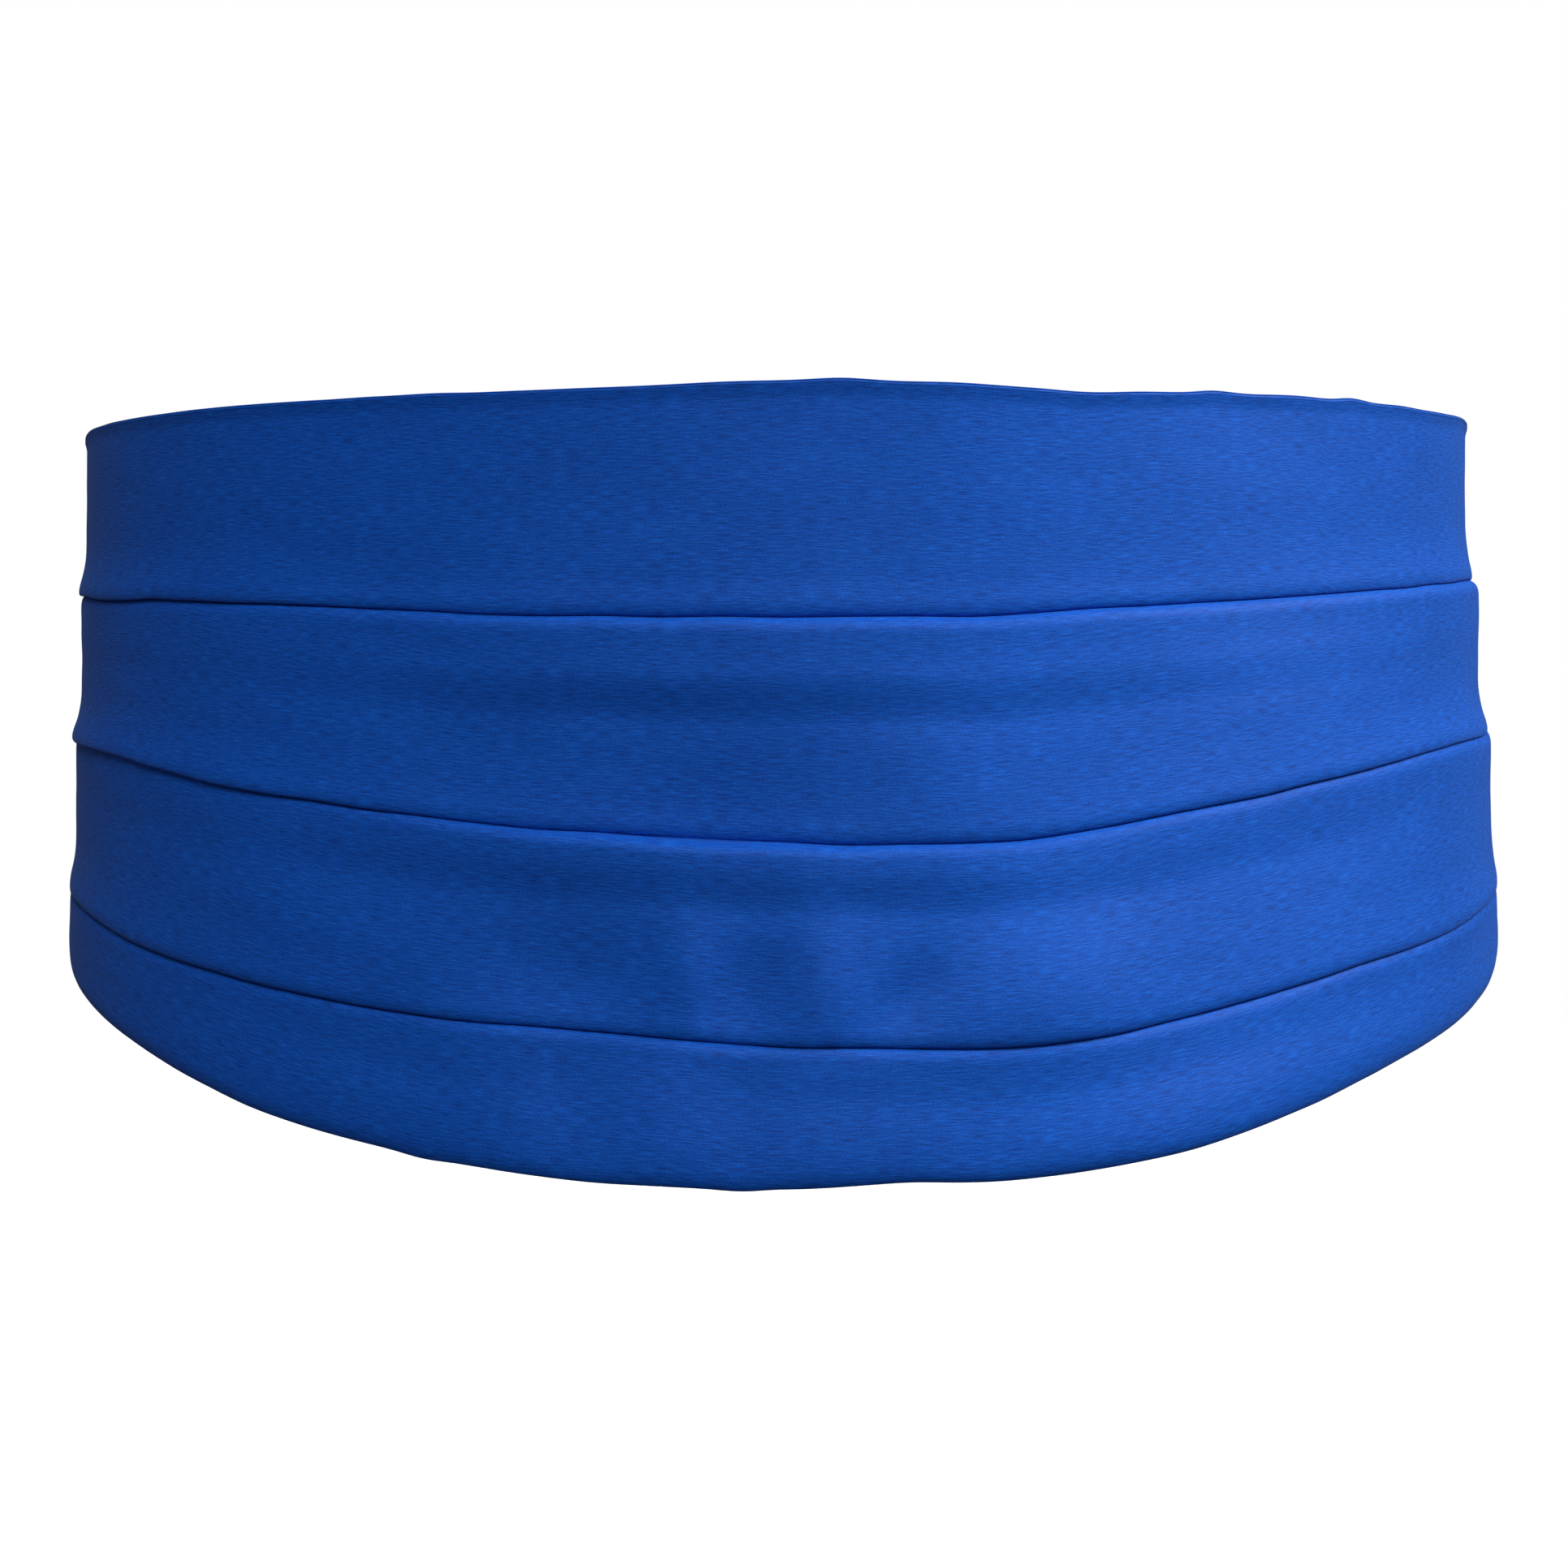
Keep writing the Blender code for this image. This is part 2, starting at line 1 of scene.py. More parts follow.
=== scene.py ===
"""Pleated cummerbund in royal blue slubbed cloth, worn form, dressed over its frame.

Four folded strips of cloth lap over each other like clapboards, two cloth bindings close their ends and
two woven straps meet at a slotted plate at centre back. Metres, +Z up, the front faces -Y. A share is a
place along the panel, from -1 at its left end to 1 at its right end; a level is a place down the visible
face of a pleat, from 0 at the fold above it to 1 at its own fold.
"""

import logging
import math
from dataclasses import dataclass
from enum import Enum

import bmesh
import bpy
import numpy as np
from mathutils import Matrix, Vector


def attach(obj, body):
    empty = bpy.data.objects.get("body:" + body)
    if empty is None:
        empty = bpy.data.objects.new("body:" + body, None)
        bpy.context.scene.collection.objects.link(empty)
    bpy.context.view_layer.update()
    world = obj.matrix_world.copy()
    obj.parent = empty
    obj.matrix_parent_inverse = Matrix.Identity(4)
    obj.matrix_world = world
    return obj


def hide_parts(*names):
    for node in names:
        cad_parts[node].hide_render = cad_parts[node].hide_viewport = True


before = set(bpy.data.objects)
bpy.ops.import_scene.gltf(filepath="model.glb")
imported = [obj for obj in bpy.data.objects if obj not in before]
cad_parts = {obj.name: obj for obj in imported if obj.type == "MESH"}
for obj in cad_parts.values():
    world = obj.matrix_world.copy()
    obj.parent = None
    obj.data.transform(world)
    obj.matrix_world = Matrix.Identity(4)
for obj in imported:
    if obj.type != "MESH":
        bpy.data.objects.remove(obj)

LOG = logging.getLogger("cummerbund")
Array = np.ndarray
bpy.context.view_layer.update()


def smooth_step(value: Array) -> Array:
    """Return 0 below 0, 1 above 1 and an eased curve between.

    Args:
        value: Any numbers.

    Returns:
        The eased numbers.
    """
    held = np.clip(value, 0.0, 1.0)
    return held * held * (3.0 - 2.0 * held)


def lattice(column: Array, row: Array, seed: int) -> Array:
    """Return a fixed random number from -1 to 1 for each cell of a lattice.

    Args:
        column: Whole numbers of the cells across.
        row: Whole numbers of the cells along.
        seed: Which of the fixed patterns to use.

    Returns:
        One number for each cell.
    """
    mixed = (column * 374761393 + row * 668265263 + seed * 2246822519) & 0xFFFFFFFF
    mixed = ((mixed ^ (mixed >> 13)) * 1274126177) & 0xFFFFFFFF
    return ((mixed ^ (mixed >> 16)) & 0xFFFF) / 32767.5 - 1.0


def cloth_noise(across: Array, along: Array, seed: int) -> Array:
    """Return smooth noise with features one unit across.

    Args:
        across: Places across the pattern.
        along: Places along the pattern.
        seed: Which of the fixed patterns to use.

    Returns:
        Numbers from -1 to 1.
    """
    across, along = np.broadcast_arrays(across, along)
    left, low = np.floor(across).astype(np.int64), np.floor(along).astype(np.int64)
    right_share, up_share = smooth_step(across - left), smooth_step(along - low)
    bottom = lattice(left, low, seed) * (1 - right_share) + lattice(left + 1, low, seed) * right_share
    top = lattice(left, low + 1, seed) * (1 - right_share) + lattice(left + 1, low + 1, seed) * right_share
    return bottom * (1 - up_share) + top * up_share


def path_lengths(points: Array) -> Array:
    """Return how far along a path each of its points lies."""
    return np.concatenate(([0.0], np.cumsum(np.linalg.norm(np.diff(points, axis=0), axis=1))))


def joined(*paths: tuple[Array, Array]) -> tuple[Array, Array]:
    """Return one path across the cloth made of several, each with its distances outward and heights."""
    outward, height = (np.concatenate(parts, axis=1) for parts in zip(*paths))
    return outward, height


@dataclass(frozen=True)
class Wave:
    """Noise over a cloth: its height, its reach along and down in metres, its slope and its pattern."""

    height: float
    along: float
    down: float = 1.0
    slope: float = 0.0
    pattern: int = 0


RIPPLES = (Wave(0.00016, 0.011), Wave(0.00022, 0.031, pattern=7))
PULLS = (
    Wave(0.00011, 0.060, 0.013, 0.8, 0),
    Wave(0.00006, 0.022, 0.007, -1.5, 3),
    Wave(0.00003, 0.006, 0.0035, 0.0, 5),
)
TAB_WAVES = (Wave(0.00009, 0.006, 0.009),)
STRAP_WAVES = (Wave(0.00008, 0.02, 0.015),)


def waving(
    waves: tuple[Wave, ...], along: Array, down: Array, seed: int, level: Array | float = 0.0
) -> Array:
    """Return the sum of some waves.

    Args:
        waves: The waves.
        along: Places along the cloth.
        down: Places down the cloth.
        seed: Which of the fixed patterns to start from.
        level: What the slope of each wave follows.

    Returns:
        Heights in metres.
    """
    total = 0.0
    for wave in waves:
        across = along / wave.along + wave.slope * level
        total = total + wave.height * cloth_noise(across, down / wave.down, seed + wave.pattern)
    return total


@dataclass(frozen=True)
class WaistForm:
    """The waist that the sash is shaped by: an oval with a soft swell at the front."""

    width: float = 0.2740
    depth: float = 0.2060
    front_height: float = 0.1400
    reach: float = math.radians(135.0)
    swell: float = 0.0085
    swell_peak: float = 0.080
    swell_left: float = 0.31
    swell_right: float = 0.50
    swell_power: float = 1.20
    swell_round: float = 0.14
    belly_lean: float = 0.0070
    belly_start: float = 0.25
    belly_end: float = 0.5
    run_steps: int = 800

    def swelling(self, share: Array) -> Array:
        """Return how far the front swells outward at a share."""
        reach = np.where(share < self.swell_peak, self.swell_left, self.swell_right)
        away = (share - self.swell_peak) / reach
        fall = np.sqrt(away * away + self.swell_round**2) - self.swell_round
        fall = fall / (math.sqrt(1.0 + self.swell_round**2) - self.swell_round)
        return self.swell * np.maximum(1.0 - fall, 0.0) ** self.swell_power

    def frontness(self, bearing: Array) -> Array:
        """Return 1 at the middle of the front, falling to 0 at the sides and behind."""
        return np.maximum(np.cos(bearing), 0.0) ** 2

    def leaning(self, bearing: Array, height: Array) -> Array:
        """Return how far the lower front leans outward."""
        drop = np.maximum(self.belly_start - height / self.front_height, 0.0)
        drop = drop / (self.belly_start + self.belly_end)
        return self.belly_lean * self.frontness(bearing) * drop

    def place(self, bearing: Array, outward: Array, height: Array) -> Array:
        """Return points round the waist.

        Args:
            bearing: Angles from the middle of the front, positive towards +X.
            outward: Distances outside the oval, along its normal.
            height: Heights.

        Returns:
            Points, with their coordinates along a new last axis.
        """
        half_width, half_depth = self.width / 2, self.depth / 2
        outward = outward + self.swelling(bearing / self.reach) + self.leaning(bearing, height)
        normal_x, normal_y = np.sin(bearing) / half_width, -np.cos(bearing) / half_depth
        length = np.hypot(normal_x, normal_y)
        x = half_width * np.sin(bearing) + outward * normal_x / length
        y = -half_depth * np.cos(bearing) + outward * normal_y / length
        return np.stack(np.broadcast_arrays(x, y, height), axis=-1)

    def run(self, start: float, end: float, outward: float = 0.0) -> tuple[Array, Array]:
        """Return bearings from start to end and the length along the oval at each.

        Args:
            start: First bearing.
            end: Last bearing.
            outward: Distance outside the oval.

        Returns:
            The bearings, and the lengths from the first one.
        """
        bearings = np.linspace(start, end, self.run_steps)
        points = self.place(bearings, np.full_like(bearings, outward), np.zeros_like(bearings))
        return bearings, path_lengths(points)


@dataclass(frozen=True)
class Section:
    """Heights of the edges and folds at one share, as shares of the front height."""

    share: float
    top: float
    fold_1: float
    fold_2: float
    fold_3: float
    hem: float


SECTIONS = (
    Section(-1.000, 0.400, 0.271, 0.150, 0.036, -0.057),
    Section(-0.930, 0.411, 0.273, 0.144, 0.018, -0.075),
    Section(-0.800, 0.455, 0.278, 0.116, -0.058, -0.163),
    Section(-0.610, 0.486, 0.266, 0.065, -0.147, -0.258),
    Section(-0.520, 0.490, 0.254, 0.049, -0.175, -0.297),
    Section(-0.445, 0.492, 0.246, 0.033, -0.206, -0.335),
    Section(-0.333, 0.493, 0.234, -0.005, -0.246, -0.399),
    Section(-0.222, 0.492, 0.221, -0.034, -0.280, -0.450),
    Section(-0.111, 0.493, 0.208, -0.059, -0.302, -0.481),
    Section(0.000, 0.495, 0.204, -0.072, -0.316, -0.489),
    Section(0.060, 0.493, 0.205, -0.074, -0.319, -0.482),
    Section(0.111, 0.489, 0.208, -0.071, -0.318, -0.479),
    Section(0.163, 0.487, 0.217, -0.054, -0.305, -0.466),
    Section(0.222, 0.491, 0.227, -0.030, -0.282, -0.443),
    Section(0.333, 0.498, 0.246, 0.011, -0.232, -0.379),
    Section(0.444, 0.501, 0.265, 0.047, -0.193, -0.322),
    Section(0.520, 0.504, 0.277, 0.062, -0.167, -0.286),
    Section(0.610, 0.504, 0.289, 0.075, -0.141, -0.246),
    Section(0.800, 0.464, 0.287, 0.119, -0.057, -0.155),
    Section(0.930, 0.411, 0.273, 0.144, 0.018, -0.075),
    Section(1.000, 0.400, 0.271, 0.150, 0.036, -0.057),
)


def edge_height(edge: str, share: Array) -> Array:
    """Return the height of an edge or fold, as a share of the front height.

    Args:
        edge: A column of the section table.
        share: Places along the panel.

    Returns:
        Heights on a smooth curve through the table's rows.
    """
    places = np.array([row.share for row in SECTIONS])
    heights = np.array([getattr(row, edge) for row in SECTIONS])
    slopes = np.gradient(heights, places)
    slopes[1:-1] = (heights[2:] - heights[:-2]) / (places[2:] - places[:-2])
    index = np.clip(np.searchsorted(places, share, side="right") - 1, 0, len(places) - 2)
    span = places[index + 1] - places[index]
    t = (share - places[index]) / span
    value = (2 * t**3 - 3 * t**2 + 1) * heights[index] + (3 * t**2 - 2 * t**3) * heights[index + 1]
    return value + span * ((t**3 - 2 * t**2 + t) * slopes[index] + (t**3 - t**2) * slopes[index + 1])


@dataclass(frozen=True)
class Dent:
    """A soft hollow in a pleat's face, or with a negative depth a swelling.

    The place and reach are shares of the panel, the level and rise shares of the visible height, the
    slant says how far it leans sideways for each level, and the depth is in metres.
    """

    share: float
    level: float
    reach: float
    rise: float
    depth: float
    slant: float = 0.0


@dataclass(frozen=True)
class EdgeBump:
    """A small bump or dip in an edge, at a share, with a reach and a height in metres."""

    share: float
    reach: float
    height: float


@dataclass
class Pleat:
    """One pleat: a strip of cloth folded along its lower edge, lapped by the pleat above."""

    form: WaistForm
    name: str
    upper_edge: str
    lower_edge: str
    spread: float
    flare: float
    lean: float
    slant: float
    imprint_level: float
    imprint_rise: float
    dents: tuple[Dent, ...]
    above: "Pleat | None" = None
    seed: int = 1
    cloth: float = 0.00042
    wall: float = 0.0012
    fold: float = 0.0016
    roll: float = 0.0030
    nose: float = 0.0010
    heel: float = 0.0006
    underlap: float = 0.0120
    clearance: float = 0.00012
    tuck_end: float = 0.085
    tuck_drop: float = 0.0032
    slant_start: float = 0.12
    slant_reach: float = 0.75
    imprint_reach: float = 0.24
    lip_start: float = 0.62
    lip_power: float = 2.3
    front_flare: float = 0.25
    gathered_flare: float = 0.25
    gather_start: float = 0.70
    dent_edge: float = 1.6
    usual_height: float = 0.036
    side_imprint: float = 0.15
    top_turn: float = 0.0004
    nose_level: float = 0.985
    head_end: float = 0.06
    upturn_rows: int = 4

    def arc(self, share: Array) -> Array:
        """Return the length along the panel from the middle of the front."""
        bearings, lengths = self.form.run(-self.form.reach, self.form.reach)
        middle = np.interp(0.0, bearings, lengths)
        return np.interp(share * self.form.reach, bearings, lengths) - middle

    def edge(self, edge: str, share: Array) -> Array:
        """Return the height of an edge with its small ripples.

        Args:
            edge: A column of the section table.
            share: Places along the panel.

        Returns:
            Heights in metres.
        """
        place = self.arc(share)
        seed = sum(map(ord, edge))
        ripple = waving(RIPPLES, place, 0.0 * place, seed)
        for bump in EDGE_BUMPS.get(edge, ()):
            ripple = ripple + bump.height * np.exp(-(((share - bump.share) / bump.reach) ** 2))
        return edge_height(edge, share) * self.form.front_height + ripple * self.gather(share)

    def gather(self, share: Array) -> Array:
        """Return 1 along the front and 0 where the pleats are gathered flat into a binding."""
        return smooth_step((1.0 - np.abs(share)) / (1.0 - self.gather_start))

    def height(self, share: Array, level: Array) -> Array:
        """Return the height at a level of the visible face."""
        upper, lower = self.edge(self.upper_edge, share), self.edge(self.lower_edge, share)
        return upper + (lower - upper) * level

    def tall(self, share: Array) -> Array:
        """Return the visible height of the pleat."""
        return self.edge(self.upper_edge, share) - self.edge(self.lower_edge, share)

    def lip(self, level: Array) -> Array:
        """Return how much of its flare the pleat has at a level."""
        return np.maximum((level - self.lip_start) / (1.0 - self.lip_start), 0.0) ** self.lip_power

    def thickness(self, level: Array) -> Array:
        """Return the thickness of the folded strip: its wall, and more in the fold."""
        return self.wall + (self.fold - self.wall) * self.lip(np.minimum(level, 1.0))

    def relief(self, share: Array, level: Array) -> Array:
        """Return the small forms of the face: dents, soft pulls and wrinkles.

        Args:
            share: Places along the panel.
            level: Levels of the visible face.

        Returns:
            Distances outward.
        """
        rise = np.zeros(np.broadcast(share, level).shape)
        for dent in self.dents:
            across = (share - dent.share - dent.slant * (level - dent.level)) / dent.reach
            along = (level - dent.level) / dent.rise
            rise = rise - dent.depth * np.exp(-self.dent_edge * (across * across + along * along))
        return rise + waving(PULLS, self.arc(share), level * self.usual_height, self.seed, level)

    def stand(self, share: Array, level: Array) -> Array:
        """Return how far the face stands outside the waist oval.

        Args:
            share: Places along the panel.
            level: Levels of the visible face.

        Returns:
            Distances outward.
        """
        gather = self.gather(share)
        flare = self.gathered_flare + (1.0 - self.gathered_flare) * gather
        side = np.sin(share * self.form.reach)
        front = self.form.frontness(share * self.form.reach)
        flare = flare * (1.0 - (1.0 - self.front_flare) * front)
        facing = 1.0 - smooth_step((level - self.slant_start) / self.slant_reach)
        outward = (self.spread + self.lean * side - self.slant * np.sqrt(front) * facing) * gather
        outward = outward + self.flare * flare * self.lip(level)
        below = (level - self.imprint_level) / self.imprint_reach + 0.5
        frontal = self.side_imprint + (1.0 - self.side_imprint) * front**3
        outward = outward + self.imprint_rise * frontal * (1.0 - smooth_step(below))
        outward = outward + self.relief(share, level) * gather
        if self.above is None:
            return outward + self.top_turn * (1.0 - smooth_step(level / self.tuck_end))
        tucked = self.above.back(share, self.nose_level) - self.clearance
        down = level * self.tall(share) / self.tuck_drop
        eased = np.sqrt(1.0 - (1.0 - np.clip(down, 0.0, 1.0)) ** 3)
        return tucked + (outward - tucked) * eased

    def back(self, share: Array, level: Array) -> Array:
        """Return how far the side towards the waist stands outside the oval."""
        return self.stand(share, level) - self.thickness(level)

    def head(self, share: Array, rise: Array) -> tuple[Array, Array]:
        """Return the hidden face behind the pleat above.

        Args:
            share: Places along the panel.
            rise: Shares of the underlap, 0 at the fold above and 1 at the upper edge.

        Returns:
            Distances outward, and heights.
        """
        lap = np.minimum(self.underlap / self.above.tall(share), 0.8)
        level = 1.0 - lap * rise
        outward = self.above.back(share, np.minimum(level, self.nose_level)) - self.clearance
        return outward, self.above.height(share, level)

    def front_path(self, share: Array, fine: int) -> tuple[Array, Array]:
        """Return the outer face from its upper edge down to the start of the fold.

        Args:
            share: Places along the panel, one row each.
            fine: How many points the visible face has.

        Returns:
            Distances outward, and heights.
        """
        rolled = 1.0 - self.roll / self.tall(share)
        upper_levels = self.tuck_end * np.linspace(0.0, 1.0, 11)[None, :] ** 1.6 * np.ones_like(share)
        lower_levels = self.tuck_end + (rolled - self.tuck_end) * np.linspace(0.0, 1.0, fine)[None, 1:]
        level = np.concatenate((upper_levels, lower_levels), axis=1)
        face = self.stand(share, level), self.height(share, level)
        if self.above is None:
            return face
        return joined(self.head(share, np.linspace(1.0, self.head_end, 6)[None, :]), face)

    def fold_path(self, share: Array) -> tuple[Array, Array]:
        """Return the rolled lip of the fold, a long curve in front and a small one behind."""
        lowest = self.edge(self.lower_edge, share)
        turn = np.linspace(0.0, math.pi / 2, 12)[None, 1:]
        level = 1.0 - self.roll / self.tall(share) * (1.0 - np.sin(turn))
        front_out = self.stand(share, level) - self.nose * (1.0 - np.cos(turn))
        front_height = lowest + self.roll * (1.0 - np.sin(turn))
        back_turn = np.linspace(0.0, math.pi / 2, 7)[None, 1:]
        back_out = self.stand(share, 1.0) - self.nose - (self.fold - self.nose) * np.sin(back_turn)
        back_height = lowest + self.heel * (1.0 - np.cos(back_turn))
        return joined((front_out, front_height), (back_out, back_height))

    def back_path(self, share: Array) -> tuple[Array, Array]:
        """Return the side towards the waist, from the fold up to the upper edge."""
        levels = np.linspace(0.955, 0.10, 12)[None, :]
        back = self.back(share, levels), self.height(share, levels)
        if self.above is None:
            return back
        hidden_out, hidden_height = self.head(share, np.linspace(self.head_end, 1.0, 5)[None, :])
        return joined(back, (hidden_out - self.wall, hidden_height))

    def open_path(self, share: Array, fine: int) -> tuple[Array, Array]:
        """Return the whole outside of the folded strip, from one cut edge to the other.

        Args:
            share: Places along the panel, one row each.
            fine: How many points the visible face has.

        Returns:
            Distances outward, and heights.
        """
        back = self.back_path(share)
        outward, height = joined(self.front_path(share, fine), self.fold_path(share), back)
        if self.above is not None:
            return outward, height
        turn = np.linspace(math.pi, 0.0, 9)[None, 1:-1]
        radius = self.wall / 2
        edge = self.stand(share, 0.0)
        top_out = edge - radius + radius * np.cos(turn)
        top_height = self.height(share, 0.0) - radius + radius * np.sin(turn)
        inner_levels = np.linspace(0.80, 0.04, 12)[None, :]
        inner = self.back(share, inner_levels), self.height(share, inner_levels)
        kept = outward.shape[1] - back[0].shape[1] + self.upturn_rows
        upturn = outward[:, :kept], np.minimum(height[:, :kept], self.height(share, 0.0) - radius)
        return joined(inner, (top_out, top_height), upturn)


EDGE_BUMPS = {
    "top": (
        EdgeBump(0.030, 0.020, 0.0004),
        EdgeBump(0.090, 0.030, 0.0003),
        EdgeBump(0.240, 0.016, 0.0005),
        EdgeBump(0.355, 0.016, 0.0005),
    ),
    "hem": (
        EdgeBump(-0.190, 0.016, -0.0004),
        EdgeBump(-0.020, 0.014, -0.0004),
        EdgeBump(0.060, 0.018, 0.0003),
    ),
}

DENTS_1 = (
    Dent(-0.110, 0.45, 0.050, 0.60, 0.0003),
    Dent(0.050, 0.50, 0.040, 0.60, 0.0003),
    Dent(0.260, 0.50, 0.100, 0.70, -0.0005),
)
DENTS_2 = (
    Dent(-0.045, 0.95, 0.110, 0.56, 0.0032),
    Dent(-0.170, 0.80, 0.070, 0.50, 0.0010),
    Dent(0.075, 0.70, 0.045, 0.40, -0.0006),
    Dent(0.300, 0.60, 0.110, 0.60, -0.0009),
)
DENTS_3 = (
    Dent(-0.105, 0.80, 0.066, 0.46, 0.0027),
    Dent(-0.048, 0.66, 0.020, 0.34, -0.0008),
    Dent(-0.020, 0.78, 0.028, 0.38, 0.0019, -0.03),
    Dent(0.019, 0.60, 0.024, 0.42, -0.0010),
    Dent(0.060, 0.76, 0.022, 0.28, 0.0014, -0.05),
    Dent(0.135, 0.80, 0.066, 0.62, -0.0026),
    Dent(-0.300, 0.55, 0.070, 0.50, -0.0008),
)
DENTS_4 = (
    Dent(0.130, 0.05, 0.080, 0.45, -0.0015),
    Dent(-0.095, 0.02, 0.060, 0.40, 0.0012),
    Dent(-0.110, 0.45, 0.030, 0.50, 0.0008),
    Dent(-0.060, 0.55, 0.025, 0.60, -0.0004),
    Dent(-0.018, 0.50, 0.022, 0.60, 0.0004),
    Dent(0.180, 0.90, 0.110, 0.80, -0.0016),
)


Colour = tuple[float, float, float, float]
Tree = bpy.types.NodeTree
Socket = bpy.types.NodeSocket


def add_node(tree: Tree, kind: str, links: dict[str | int, Socket], **values: object) -> bpy.types.Node:
    """Return a new node.

    Args:
        tree: The tree that it is added to.
        kind: The node's type.
        links: The sockets that feed its inputs, by the inputs' names.
        values: Fixed values of its inputs, by their names with underscores for spaces.

    Returns:
        The new node.
    """
    made = tree.nodes.new(kind)
    for name, value in values.items():
        made.inputs[name.replace("_", " ")].default_value = value
    for name, socket in links.items():
        tree.links.new(socket, made.inputs[name])
    return made


def new_material(name: str, **values: object) -> tuple[bpy.types.Material, Tree, bpy.types.Node]:
    """Return a new material, its tree and its shader, with some of the shader's inputs set."""
    material = bpy.data.materials.new(name)
    material.use_nodes = True
    shader = material.node_tree.nodes["Principled BSDF"]
    for label, value in values.items():
        shader.inputs[label.replace("_", " ")].default_value = value
    return material, material.node_tree, shader


def stretched(tree: Tree, place: Socket, scale: tuple[float, float, float]) -> dict[str, Socket]:
    """Return a texture's link to some places, drawn out by a scale."""
    mapping = add_node(tree, "ShaderNodeMapping", {"Vector": place}, Scale=scale)
    return {"Vector": mapping.outputs["Vector"]}


def blend(tree: Tree, first: Socket, second: Socket, share: float) -> Socket:
    """Return a mix of two patterns, with a share of the second."""
    return add_node(tree, "ShaderNodeMix", {"A": first, "B": second}, Factor=share).outputs["Result"]


def paint(tree: Tree, shader: bpy.types.Node, tone: Socket, stops: tuple[tuple[float, Colour], ...]) -> None:
    """Colour a shader by a pattern.

    Args:
        tree: The material's node tree.
        shader: The shader.
        tone: The pattern.
        stops: Places on the pattern's scale, from the lowest to the highest, and their colours.
    """
    ramp = add_node(tree, "ShaderNodeValToRGB", {"Fac": tone})
    elements = ramp.color_ramp.elements
    for element, (place, colour) in zip((elements[0], elements[1]), (stops[0], stops[-1])):
        element.position, element.color = place, colour
    for place, colour in stops[1:-1]:
        elements.new(place).color = colour
    tree.links.new(ramp.outputs["Color"], shader.inputs["Base Color"])


def emboss(tree: Tree, shader: bpy.types.Node, height: Socket, strength: float, reach: float) -> None:
    """Give a shader a fine relief that follows a pattern."""
    bump = add_node(tree, "ShaderNodeBump", {"Height": height}, Strength=strength, Distance=reach)
    tree.links.new(bump.outputs["Normal"], shader.inputs["Normal"])


@dataclass(frozen=True)
class Streak:
    """Noise drawn out along the cloth: the length and height of a streak, and how much finer noise it has."""

    length: float
    height: float
    detail: float


SLUB_STREAKS = (
    Streak(0.0030, 0.00026, 2.0),
    Streak(0.0135, 0.000364, 1.0),
    Streak(0.00042, 0.00024, 1.0),
    Streak(0.0300, 0.0120, 2.0),
)


@dataclass(frozen=True)
class SlubCloth:
    """Royal blue cloth with a fine horizontal slub, matte with a low sheen."""

    name: str = "pleat_cloth_slub"
    deep: Colour = (0.0015, 0.0400, 0.2600, 1.0)
    base: Colour = (0.0020, 0.0780, 0.4500, 1.0)
    light: Colour = (0.0060, 0.1300, 0.6600, 1.0)
    long_share: float = 0.14
    thread_share: float = 0.30
    patch_share: float = 0.10
    roughness: float = 0.60
    specular: float = 0.16
    sheen: float = 0.06
    sheen_roughness: float = 0.45
    sheen_tint: Colour = (0.55, 0.70, 1.0, 1.0)
    bump: float = 0.60
    bump_reach: float = 0.00016

    def material(self) -> bpy.types.Material:
        """Return the cloth's material, which follows the cloth's own UV map in metres."""
        material, tree, shader = new_material(
            self.name, Roughness=self.roughness, Specular_IOR_Level=self.specular, Sheen_Weight=self.sheen,
            Sheen_Roughness=self.sheen_roughness, Sheen_Tint=self.sheen_tint,
        )
        uv = add_node(tree, "ShaderNodeUVMap", {})
        uv.uv_map = "cloth"
        patterns = []
        for streak in SLUB_STREAKS:
            scale = (1.0 / streak.length, 1.0 / streak.height, 1.0)
            fed = stretched(tree, uv.outputs["UV"], scale)
            noise = add_node(tree, "ShaderNodeTexNoise", fed, Scale=1.0, Detail=streak.detail)
            patterns.append(noise.outputs["Fac"])
        slub, long_slub, thread, patch = patterns
        woven = blend(tree, slub, long_slub, self.long_share)
        woven = blend(tree, woven, thread, self.thread_share)
        tone = blend(tree, woven, patch, self.patch_share)
        paint(tree, shader, tone, ((0.33, self.deep), (0.50, self.base), (0.68, self.light)))
        emboss(tree, shader, woven, self.bump, self.bump_reach)
        return material


def report(made: bpy.types.Object) -> None:
    """Log a finished piece and its size."""
    LOG.info("%s: %d faces", made.name, len(made.data.polygons))


def link(name: str, mesh: bpy.types.Mesh) -> bpy.types.Object:
    """Return a new object of a mesh, linked to the scene."""
    made = bpy.data.objects.new(name, mesh)
    bpy.context.scene.collection.objects.link(made)
    return made


